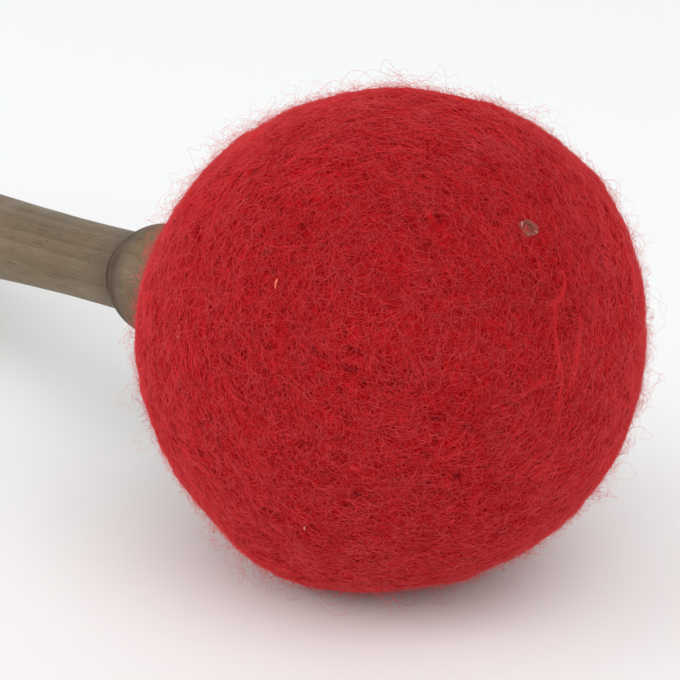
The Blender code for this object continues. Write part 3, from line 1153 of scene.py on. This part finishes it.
CUTS = (
    (bead, FLANGE_THICKNESS, FLANGE_RADIUS - RIM_ROUND, RIM_ROUND),
    (cove, COVE_LENGTH, FLANGE_RADIUS - RIM_ROUND, COVE_RADIUS),
    (bead, RING_LENGTH, COVE_RADIUS, RING_RISE),
    (groove, GROOVE_WIDTH, COVE_RADIUS, GROOVE_DEPTH),
    (bead, BEAD_LENGTH, COVE_RADIUS, BEAD_RISE, 40),
    (groove, GROOVE_WIDTH, NECK_RADIUS, GROOVE_DEPTH),
    (straight, NECK_LENGTH, NECK_RADIUS),
    (swell, SWELL_LENGTH, NECK_RADIUS, GRIP_RADIUS),
    (swell, TAPER_LENGTH, GRIP_RADIUS, TAIL_RADIUS, 30),
    (groove, GROOVE_WIDTH, TAIL_RADIUS, GROOVE_DEPTH),
    (bead, TAIL_RING_LENGTH, TAIL_RADIUS, TAIL_RING_RISE),
)

core_face = packed_points("head_core")[:, 0].max()


def handle_outline():
    """The outline's points, and where along the handle the narrow grooves are."""
    shoulder = -core_face - GAP
    x = -mouth_face - GAP
    points = straight(core_face, shoulder, TENON_RADIUS) + straight(shoulder, x, STUB_RADIUS)
    narrow = []
    for cut, length, *sizes in CUTS:
        points += cut(x, x - length, *sizes)
        if cut is groove:
            narrow.append(x - length / 2)
        x -= length
    narrow.append(x)

    pommel = x - math.sqrt(POMMEL_RADIUS**2 - POMMEL_NECK_RADIUS**2)
    start = math.asin(POMMEL_NECK_RADIUS / POMMEL_RADIUS)
    end = math.pi - math.acos(1 - BUTT_FACE_DEPTH / POMMEL_RADIUS)
    for angle in np.linspace(start, end, POMMEL_POINTS):
        points.append((pommel + POMMEL_RADIUS * math.cos(angle), POMMEL_RADIUS * math.sin(angle)))
    return without_repeats(points), narrow


def without_repeats(points):
    """The points without those that lie on the one before."""
    kept = [points[0]]
    for point in points[1:]:
        if math.dist(point, kept[-1]) > GAP / 10:
            kept.append(point)
    return np.array(kept)


outline, narrow_places = handle_outline()
print(f"handle outline: {len(outline)} points, butt at {outline[-1, 0] / MM:.1f} mm")

# %% [markdown]
# The outline is spun by numpy into rings of vertices, and each vertex gets a number for dirt and
# painted shade from its distance to the nearest groove. Towards the head the darkening reaches as
# far as the list says, and towards the butt it soon fades. The handle's map is the turned surface
# unrolled.

# %% Handle mesh
HANDLE_SIDES = 128
WAVER = 0.03 * MM
WAVER_LENGTH = 16 * MM
WAVER_SEED = 50
# how far the dirt and the painted shade spread from each groove
SHADE_AND_DIRT_WIDTH = 1.0 * MM
SHADE_AND_DIRT_REACHES = mm(2.0, 8.3, 2.0, 1.2)
SHADE_AND_DIRT_EDGE = 6


def shade_and_dirt_along(x):
    """How much dirt and painted shade darken the wood, from 0 to 1, at places along the handle."""
    shade_and_dirt = np.zeros(len(x))
    for middle, reach in zip(narrow_places, SHADE_AND_DIRT_REACHES):
        off = x - middle
        headwards = np.exp(-((off / reach) ** SHADE_AND_DIRT_EDGE))
        shade_and_dirt += np.where(off > 0, headwards, np.exp(-((off / SHADE_AND_DIRT_WIDTH) ** 2)))
    return np.clip(shade_and_dirt, 0, 1)


def handle_mesh():
    turn = np.linspace(0, math.tau, HANDLE_SIDES, endpoint=False)
    circle = np.stack([np.cos(turn), np.sin(turn)], 1)
    rings = len(outline)
    x = np.repeat(outline[:, 0], HANDLE_SIDES)
    points = np.stack([x, x, x], 1)
    points[:, 1:] = (outline[:, 1][:, None, None] * circle[None]).reshape(-1, 2)
    in_sight = (x < -mouth_face - GAP) & (x > outline[-1, 0] + GAP)
    waver = 1 + WAVER / GRIP_RADIUS * ripples(points, WAVER_LENGTH, WAVER_SEED)
    points[in_sight, 1:] *= waver[in_sight, None]
    tips = np.array([[outline[0, 0], 0, 0], [outline[-1, 0], 0, 0]])
    faces = [
        band_faces(rings, HANDLE_SIDES),
        end_cap(rings * HANDLE_SIDES, 0, HANDLE_SIDES, flip=False),
        end_cap(rings * HANDLE_SIDES + 1, (rings - 1) * HANDLE_SIDES, HANDLE_SIDES, flip=True),
    ]
    mesh = mesh_from_arrays("turned_handle", np.concatenate([points, tips]), faces)
    along = np.concatenate([x, tips[:, 0]])
    give_points(mesh, "shade_and_dirt", shade_and_dirt_along(along))
    give_handle_map(mesh, along)
    return mesh


def give_handle_map(mesh, along):
    """Round the handle is u, and a face over the seam gets u past 1. Along the handle is v."""
    vertex, face = corner_owners(mesh)
    side = np.append(np.tile(np.arange(HANDLE_SIDES), len(outline)), [0, 0])[vertex] / HANDLE_SIDES
    face_side = np.zeros(face[-1] + 1)
    np.maximum.at(face_side, face, side)
    over_seam = (face_side[face] > 0.9) & (side < 0.1)
    side = np.where(over_seam, side + 1, side)
    span = outline[0, 0] - outline[-1, 0]
    give_map(mesh, np.stack([side, (along[vertex] - outline[-1, 0]) / span], 1))


handle = link(handle_mesh())

# %% [markdown]
# The saw kerf for the wedge is cut with a Boolean modifier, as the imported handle's is, and the
# result is read back as the final mesh. The corners of the cuts stay sharp.

# %% Saw kerf
SHARP_CORNER = math.radians(38)


def kerf_cutter():
    """A slip a little thicker than the wedge, and wider than the tenon."""
    wedge = packed_points("tenon_wedge")
    corners = []
    for end in (wedge[:, 0].min(), wedge[:, 0].max()):
        at_end = np.abs(wedge[:, 0] - end) < GAP / 3
        thick = np.abs(wedge[at_end, 2]).max() + GAP
        x = end - GAP if end < wedge[:, 0].mean() else core_face + TENON_RADIUS
        for y, z in ((-1, -1), (1, -1), (1, 1), (-1, 1)):
            corners.append((x, y * 2 * TENON_RADIUS, z * thick))
    faces = [band_faces(2, 4)[:, ::-1], np.array([[0, 3, 2, 1], [4, 5, 6, 7]])]
    return mesh_from_arrays("kerf_cutter", np.array(corners), faces)


cutter = link(kerf_cutter())
kerf = handle.modifiers.new("kerf", "BOOLEAN")
kerf.operation = "DIFFERENCE"
kerf.solver = "EXACT"
kerf.object = cutter
bpy.context.view_layer.update()
evaluated = bpy.context.evaluated_depsgraph_get()
solid = handle.evaluated_get(evaluated)
sawn = bpy.data.meshes.new_from_object(solid, preserve_all_data_layers=True, depsgraph=evaluated)
handle.modifiers.clear()
handle.data = sawn
handle.data.set_sharp_from_angle(angle=SHARP_CORNER)
bpy.data.objects.remove(cutter)
print(f"handle: {len(handle.data.polygons)} faces")

# %% [markdown]
# ## Node groups
#
# Effects that several materials share are node groups with named inputs. Each puts out a colour,
# a mask or a height, and the material's own shader takes it from there. The first is not an
# effect but a place: it turns the table's coordinates into the mallet's, so that grain can run
# along the handle.


# %% Node helpers
def new_group(name, inputs, outputs):
    group = bpy.data.node_groups.new(name, "ShaderNodeTree")
    for label, kind, value in inputs:
        socket = group.interface.new_socket(label, in_out="INPUT", socket_type=kind)
        socket.default_value = value
    for label, kind in outputs:
        group.interface.new_socket(label, in_out="OUTPUT", socket_type=kind)
    return group, group.nodes.new("NodeGroupInput"), group.nodes.new("NodeGroupOutput")


def add_node(tree, kind, links=(), **values):
    """A node, its settings or inputs by name, and what feeds it as (output socket, input name)."""
    node = tree.nodes.new(kind)
    for key, value in values.items():
        if hasattr(node, key):
            setattr(node, key, value)
        else:
            node.inputs[key.replace("_", " ")].default_value = value
    for source, target in links:
        tree.links.new(source, node.inputs[target])
    return node


def masked(tree, value, low, high, bottom=0.0, top=1.0):
    """value stretched so that low becomes bottom and high becomes top, and held there."""
    ends = {"From_Min": low, "From_Max": high, "To_Min": bottom, "To_Max": top}
    return add_node(tree, "ShaderNodeMapRange", [(value, "Value")], **ends).outputs["Result"]


def blended(tree, factor, first, second):
    """Mixes two colours. Each of the three is a socket."""
    links = [(factor, "Factor"), (first, 6), (second, 7)]
    return add_node(tree, "ShaderNodeMix", links, data_type="RGBA").outputs[2]


def computed(tree, operation, first, second):
    """A Math node on a socket and a socket or number."""
    node = add_node(tree, "ShaderNodeMath", [(first, 0)], operation=operation)
    if isinstance(second, (int, float)):
        node.inputs[1].default_value = second
    else:
        tree.links.new(second, node.inputs[1])
    return node.outputs[0]


def noise(tree, where, scale, detail=2.0, roughness=0.5):
    values = {"Scale": scale, "Detail": detail, "Roughness": roughness}
    return add_node(tree, "ShaderNodeTexNoise", [(where, "Vector")], **values).outputs["Fac"]


def stored(tree, name):
    """A number that the mesh carries for each vertex."""
    return add_node(tree, "ShaderNodeAttribute", attribute_name=name).outputs["Fac"]


def plain_color(tree, color):
    node = add_node(tree, "ShaderNodeRGB")
    node.outputs[0].default_value = (*color, 1)
    return node.outputs[0]


def stretched(tree, where, factors):
    node = add_node(tree, "ShaderNodeVectorMath", [(where, 0)], operation="MULTIPLY")
    node.inputs[1].default_value = factors
    return node.outputs[0]


def raised(tree, shader, height, strength, distance):
    """A Bump node between a height and the shader's normal."""
    links = [(height, "Height")]
    node = add_node(tree, "ShaderNodeBump", links, Strength=strength, Distance=distance)
    tree.links.new(node.outputs["Normal"], shader.inputs["Normal"])
    return node


def use_group(tree, group, **values):
    node = add_node(tree, "ShaderNodeGroup", node_tree=group)
    for key, value in values.items():
        if isinstance(value, tuple):
            value = (*value, 1)
        node.inputs[key.replace("_", " ")].default_value = value
    return node


# %% Mallet coordinates
def mallet_place_group():
    group, _, result = new_group("mallet_place", (), (("Vector", "NodeSocketVector"),))
    where = add_node(group, "ShaderNodeTexCoord").outputs["Object"]
    laid = add_node(group, "ShaderNodeMapping", [(where, "Vector")], vector_type="TEXTURE")
    laid.inputs["Location"].default_value = head_centre
    laid.inputs["Rotation"].default_value = (0, -tilt, 0)
    group.links.new(laid.outputs["Vector"], result.inputs["Vector"])
    return group


mallet_place = mallet_place_group()
print("made the node group", mallet_place.name)

# %% [markdown]
# The skin under the fibres needs the same tangle as the fibres themselves. Where a smooth noise
# passes through its middle value it draws thin closed curves, which look like curled hairs. Three
# noises at different scales lay three such webs over each other. The gaps between the hairs and tiny
# pits get the deep colour as painted shade, and broad blotches of dye are mixed in.

# %% Wool tangle
STRAND_SIZES = (1.0, 0.7, 1.4)
STRAND_WIDTH = 0.06
MIDDLE_VALUE = 0.5
PIT_SHADE_SCALE = 1500.0
BLOTCH_SCALE = 130.0
BETWEEN_STRANDS = 0.35
HEIGHT_SHARE = 0.65
BLOTCH_SHARE = 0.22


def wool_tangle_group():
    group, given, result = new_group(
        "wool_tangle",
        (
            ("Deep", "NodeSocketColor", (0.2, 0.005, 0.008, 1)),
            ("Light", "NodeSocketColor", (0.5, 0.03, 0.035, 1)),
            ("Strand Scale", "NodeSocketFloat", 700.0),
        ),
        (("Color", "NodeSocketColor"), ("Height", "NodeSocketFloat")),
    )
    where = add_node(group, "ShaderNodeTexCoord").outputs["Object"]
    web = None
    for i, size in enumerate(STRAND_SIZES):
        moved = add_node(group, "ShaderNodeVectorMath", [(where, 0)], operation="ADD")
        moved.inputs[1].default_value = (0.1 * i, 0.2 * i, 0.3 * i)
        scale = computed(group, "MULTIPLY", given.outputs["Strand Scale"], size)
        links = [(moved.outputs[0], "Vector"), (scale, "Scale")]
        wool = add_node(group, "ShaderNodeTexNoise", links, Detail=1.0).outputs["Fac"]
        off_middle = computed(group, "SUBTRACT", wool, MIDDLE_VALUE)
        off_middle = add_node(group, "ShaderNodeMath", [(off_middle, 0)], operation="ABSOLUTE")
        strands = masked(group, off_middle.outputs[0], 0.0, STRAND_WIDTH, bottom=1.0, top=0.0)
        web = strands if web is None else computed(group, "MAXIMUM", web, strands)
    # painted shade: the gaps between the strands and the tiny pits take the deep colour
    pits = masked(group, noise(group, where, PIT_SHADE_SCALE), 0.36, 0.5)
    blotch = masked(group, noise(group, where, BLOTCH_SCALE, 3.0, 0.6), 0.36, 0.64)
    height = computed(group, "MULTIPLY", computed(group, "ADD", web, BETWEEN_STRANDS), pits)
    factor = computed(group, "MULTIPLY", height, HEIGHT_SHARE)
    blotch = computed(group, "MULTIPLY", blotch, BLOTCH_SHARE)
    factor = computed(group, "ADD", factor, blotch)
    color = blended(group, factor, given.outputs["Deep"], given.outputs["Light"])
    group.links.new(color, result.inputs["Color"])
    group.links.new(height, result.inputs["Height"])
    return group


wool_tangle = wool_tangle_group()
print("made the node group", wool_tangle.name)

# %% [markdown]
# A fibre's colour comes from its tone and its lift, the two numbers that its mesh carries. Wool
# takes up dye unevenly, so some fibres are paler, and every fibre is darkest where it dives into
# the felt, which is painted shade.

# %% Wool strand
def wool_strand_group():
    group, given, result = new_group(
        "wool_strand",
        (
            ("Deep", "NodeSocketColor", (0.3, 0.01, 0.012, 1)),
            ("Light", "NodeSocketColor", (0.6, 0.04, 0.045, 1)),
            ("Tone Share", "NodeSocketFloat", 0.6),
        ),
        (("Color", "NodeSocketColor"),),
    )
    lift = stored(group, "lift")
    tone = stored(group, "tone")
    # painted shade: a fibre darkens towards its low, buried ends
    links = [(given.outputs["Tone Share"], "Factor"), (lift, 2), (tone, 3)]
    both = add_node(group, "ShaderNodeMix", links, data_type="FLOAT").outputs[0]
    color = blended(group, both, given.outputs["Deep"], given.outputs["Light"])
    group.links.new(color, result.inputs["Color"])
    return group


wool_strand = wool_strand_group()
print("made the node group", wool_strand.name)

# %% [markdown]
# Each layer has a red of its own, paler the higher it stands, as painted light: light comes through a
# thin fibre on top and hardly reaches the mat below. A little sheen stands for the glow of fine wool
# at a glancing angle. The undyed wool inside is the same tangle in cream.

# %% Wool materials
TONE_SHARE = 0.6
WOOL_SHEEN = 0.07
WOOL_SHEEN_TINT = (1.0, 0.25, 0.22, 1)
WOOL_BUMP = 0.8
WOOL_BUMP_DEPTH = 0.2 * MM


def new_material(name, roughness, specular):
    finish = bpy.data.materials.new(name)
    finish.use_nodes = True
    shader = finish.node_tree.nodes["Principled BSDF"]
    shader.inputs["Roughness"].default_value = roughness
    shader.inputs["Specular IOR Level"].default_value = specular
    return finish, finish.node_tree, shader


def strand_material(name, deep, light):
    finish, tree, shader = new_material(name, roughness=0.8, specular=0.08)
    shader.inputs["Sheen Weight"].default_value = WOOL_SHEEN
    shader.inputs["Sheen Roughness"].default_value = 0.5
    shader.inputs["Sheen Tint"].default_value = WOOL_SHEEN_TINT
    dye = use_group(tree, wool_strand, Deep=deep, Light=light, Tone_Share=TONE_SHARE)
    tree.links.new(dye.outputs["Color"], shader.inputs["Base Color"])
    return finish


def felt_material(name, deep, light, strand_scale, shade=None):
    """shade is painted shade: the darker colour laid into the hollows that the mesh marks."""
    finish, tree, shader = new_material(name, roughness=0.9, specular=0.07)
    dye = use_group(tree, wool_tangle, Deep=deep, Light=light, Strand_Scale=strand_scale)
    color = dye.outputs["Color"]
    if shade:
        color = blended(tree, stored(tree, "hollow"), color, plain_color(tree, shade))
    tree.links.new(color, shader.inputs["Base Color"])
    raised(tree, shader, dye.outputs["Height"], WOOL_BUMP, WOOL_BUMP_DEPTH)
    return finish


# painted light and shade: the reds grow paler from the skin through the mat and nap to the fuzz
felt_red = felt_material(
    "felt_red", deep=(0.285, 0.002, 0.004), light=(0.61, 0.010, 0.016), strand_scale=700.0,
    # painted shade: the skin is darkened in the hollows
    shade=(0.23, 0.002, 0.004),
)
mat_red = strand_material("mat_red", deep=(0.40, 0.003, 0.006), light=(0.785, 0.024, 0.032))
nap_red = strand_material("nap_red", deep=(0.56, 0.006, 0.010), light=(0.90, 0.080, 0.093))
cord_red = strand_material("cord_red", deep=(0.57, 0.008, 0.012), light=(0.90, 0.046, 0.054))
fuzz_red = strand_material("fuzz_red", deep=(0.61, 0.022, 0.029), light=(0.91, 0.150, 0.160))
flyaway_red = strand_material("flyaway_red", deep=(0.66, 0.040, 0.045), light=(0.92, 0.110, 0.110))
undyed_wool = felt_material(
    "undyed_wool", deep=(0.36, 0.29, 0.20), light=(0.70, 0.63, 0.50), strand_scale=500.0
)

wool_finishes = (
    ([ball], felt_red),
    (mat, mat_red),
    (nap, nap_red),
    (cords, cord_red),
    (fuzz, fuzz_red),
    (flyaways, flyaway_red),
)
for pieces, finish in wool_finishes:
    for piece in pieces:
        piece.data.materials.append(finish)
    print(finish.name, "on", len(pieces), "pieces")

# %% [markdown]
# ## Wood
#
# A stick cut from a trunk carries a slice of its growth rings, which run along the axis and show as
# long streaks and stretched arches. The rings here are cylinders round a pith that lies outside the
# stick, bent a little by noise. Fine pores are short dark dashes, and all of it is stretched along
# the axis by scaling one coordinate.

# %% Wood grain
PITH = (0.0, 21 * MM, 13 * MM)
RING_SHARE = 0.3
STREAK_SHARE = 0.4
CLOUD_SHARE = 0.3


def wood_grain_group():
    group, given, result = new_group(
        "wood_grain",
        (
            ("Pale", "NodeSocketColor", (0.3, 0.22, 0.15, 1)),
            ("Dark", "NodeSocketColor", (0.15, 0.1, 0.07, 1)),
            ("Ring Scale", "NodeSocketFloat", 170.0),
            ("Pore Share", "NodeSocketFloat", 0.5),
        ),
        (("Color", "NodeSocketColor"), ("Height", "NodeSocketFloat")),
    )
    where = use_group(group, mallet_place).outputs["Vector"]

    def drawn_out(along):
        """The mallet's coordinates with the axis scaled by along, so that marks lie long on it."""
        return stretched(group, where, (along, 1.0, 1.0))

    links = [(drawn_out(0.05), 0)]
    from_pith = add_node(group, "ShaderNodeVectorMath", links, operation="SUBTRACT")
    from_pith.inputs[1].default_value = PITH
    rings = add_node(
        group, "ShaderNodeTexWave",
        [(from_pith.outputs[0], "Vector"), (given.outputs["Ring Scale"], "Scale")],
        wave_type="RINGS", rings_direction="X", wave_profile="SAW",
        Distortion=3.0, Detail=3.0, Detail_Scale=1.5, Detail_Roughness=0.6,
    ).outputs["Fac"]
    streaks = masked(group, noise(group, drawn_out(0.03), 420.0, 4.0, 0.65), 0.35, 0.65)
    streaks = computed(group, "MULTIPLY", streaks, STREAK_SHARE)
    patches = masked(group, noise(group, drawn_out(0.4), 70.0, 3.0, 0.5), 0.35, 0.65)
    patches = computed(group, "MULTIPLY", patches, CLOUD_SHARE)
    pores = masked(group, noise(group, drawn_out(0.09), 2600.0, 1.0), 0.60, 0.72)
    pores = computed(group, "MULTIPLY", pores, given.outputs["Pore Share"])
    factor = computed(group, "MULTIPLY", rings, RING_SHARE)
    for part in (streaks, patches, pores):
        factor = computed(group, "ADD", factor, part)
    color = blended(group, factor, given.outputs["Pale"], given.outputs["Dark"])
    height = computed(group, "SUBTRACT", streaks, pores)
    group.links.new(color, result.inputs["Color"])
    group.links.new(height, result.inputs["Height"])
    return group


wood_grain = wood_grain_group()
print("made the node group", wood_grain.name)

# %% [markdown]
# The handle's finish is thin and has gone grey-brown with handling. Dirt and old polish have
# settled in the turned grooves, and shade is painted there too, so the number for dirt and painted
# shade that the handle's mesh carries darkens them, turns them reddish and makes them dull, most of
# all up the near side of the bead, where it is mostly painted shade. Faint rings left by the lathe go
# into the bump. The core and the wedge are bare wood with the same grain.

# %% Wood materials
WOOD_BUMP_DEPTH = 0.1 * MM
# the dark colour of the dirt and the painted shade in the grooves
SHADE_AND_DIRT_COLOR = (0.062, 0.036, 0.022)
LATHE_STRETCH = (1.0, 0.02, 0.02)
LATHE_SCALE = 1900.0
LATHE_HEIGHT = 0.7
MOST_DULL = 0.9


def wood_material(name, pale, dark, ring_scale, pore_share, roughness, bump):
    finish, tree, shader = new_material(name, roughness=roughness, specular=0.28)
    values = {"Pale": pale, "Dark": dark, "Ring_Scale": ring_scale, "Pore_Share": pore_share}
    grain = use_group(tree, wood_grain, **values)
    tree.links.new(grain.outputs["Color"], shader.inputs["Base Color"])
    bumps = raised(tree, shader, grain.outputs["Height"], bump, WOOD_BUMP_DEPTH)
    return finish, tree, shader, grain, bumps


def handle_material():
    finish, tree, shader, grain, bumps = wood_material(
        "handle_wood", pale=(0.208, 0.143, 0.080), dark=(0.102, 0.066, 0.032),
        ring_scale=170.0, pore_share=0.55, roughness=0.5, bump=0.5,
    )
    where = use_group(tree, mallet_place).outputs["Vector"]
    cloud = masked(tree, noise(tree, where, 260.0, 3.0), 0.3, 0.6, bottom=0.82, top=1.0)
    # dirt and painted shade darken the grooves and the near side of the bead
    shade_and_dirt = computed(tree, "MULTIPLY", stored(tree, "shade_and_dirt"), cloud)
    color = blended(tree, shade_and_dirt, grain.outputs["Color"], plain_color(tree, SHADE_AND_DIRT_COLOR))
    tree.links.new(color, shader.inputs["Base Color"])

    marks = noise(tree, stretched(tree, where, LATHE_STRETCH), LATHE_SCALE)
    marks = computed(tree, "MULTIPLY", marks, LATHE_HEIGHT)
    height = computed(tree, "ADD", grain.outputs["Height"], marks)
    tree.links.new(height, bumps.inputs["Height"])
    worn = masked(tree, noise(tree, where, 120.0, 3.0), 0.3, 0.7, bottom=0.42, top=0.62)
    dull = computed(tree, "MAXIMUM", worn, computed(tree, "MULTIPLY", shade_and_dirt, MOST_DULL))
    tree.links.new(dull, shader.inputs["Roughness"])
    return finish


handle_wood = handle_material()
core_wood, *_ = wood_material(
    "core_wood", pale=(0.52, 0.36, 0.20), dark=(0.33, 0.20, 0.10),
    ring_scale=140.0, pore_share=0.3, roughness=0.7, bump=0.4,
)
wedge_wood, *_ = wood_material(
    "wedge_wood", pale=(0.34, 0.20, 0.10), dark=(0.20, 0.11, 0.05),
    ring_scale=220.0, pore_share=0.4, roughness=0.6, bump=0.4,
)
inner_finishes = (
    (handle, handle_wood),
    (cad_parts["head_core"], core_wood),
    (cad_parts["tenon_wedge"], wedge_wood),
    (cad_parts["wool_wadding"], undyed_wool),
)
for piece, finish in inner_finishes:
    piece.data.materials.clear()
    piece.data.materials.append(finish)
    print(finish.name, "on", piece.name)

# %% [markdown]
# ## Husk, straw and chaff
#
# The husk is grey-brown with a pale torn rim and a dark hollow. The depth number in its mesh says
# which is which. The straw is an orange sliver that has taken some of the dye, and the chaff is
# pale. All three are mottled by one fine noise, which also roughens them.

# %% Chip materials
MOTTLE_SCALE = 2200.0
MOTTLE_SHARE = 0.35
CHIP_BUMP = 0.6
CHIP_BUMP_DEPTH = 0.1 * MM


def chip_material(name, pale, dark, attribute=None):
    """attribute names a number in the mesh that darkens it."""
    finish, tree, shader = new_material(name, roughness=0.7, specular=0.18)
    where = add_node(tree, "ShaderNodeTexCoord").outputs["Object"]
    factor = masked(tree, noise(tree, where, MOTTLE_SCALE, 3.0), 0.35, 0.65)
    if attribute:
        factor = computed(tree, "MULTIPLY", factor, MOTTLE_SHARE)
        factor = computed(tree, "ADD", factor, stored(tree, attribute))
    color = blended(tree, factor, plain_color(tree, pale), plain_color(tree, dark))
    tree.links.new(color, shader.inputs["Base Color"])
    raised(tree, shader, factor, CHIP_BUMP, CHIP_BUMP_DEPTH)
    return finish


husk_brown = chip_material(
    "husk_brown", pale=(0.40, 0.13, 0.09), dark=(0.12, 0.030, 0.024), attribute="depth"
)
straw_orange = chip_material("straw_orange", pale=(0.92, 0.19, 0.11), dark=(0.60, 0.09, 0.05))
chaff_pale = chip_material("chaff_pale", pale=(0.72, 0.33, 0.27), dark=(0.55, 0.18, 0.14))
seed_husk.data.materials.append(husk_brown)
straw.data.materials.append(straw_orange)
for piece in chaff:
    piece.data.materials.append(chaff_pale)
print("finishes of the small things:", husk_brown.name, straw_orange.name, chaff_pale.name)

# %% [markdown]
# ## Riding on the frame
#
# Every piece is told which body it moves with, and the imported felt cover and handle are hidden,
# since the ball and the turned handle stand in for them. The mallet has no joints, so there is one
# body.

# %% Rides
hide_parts("felt_cover")
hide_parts("handle")
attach(handle, "root")
for piece in (ball, *mat, *nap, *cords, *fuzz, *flyaways, seed_husk, straw, *chaff):
    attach(piece, "root")
print("every piece rides on the root")
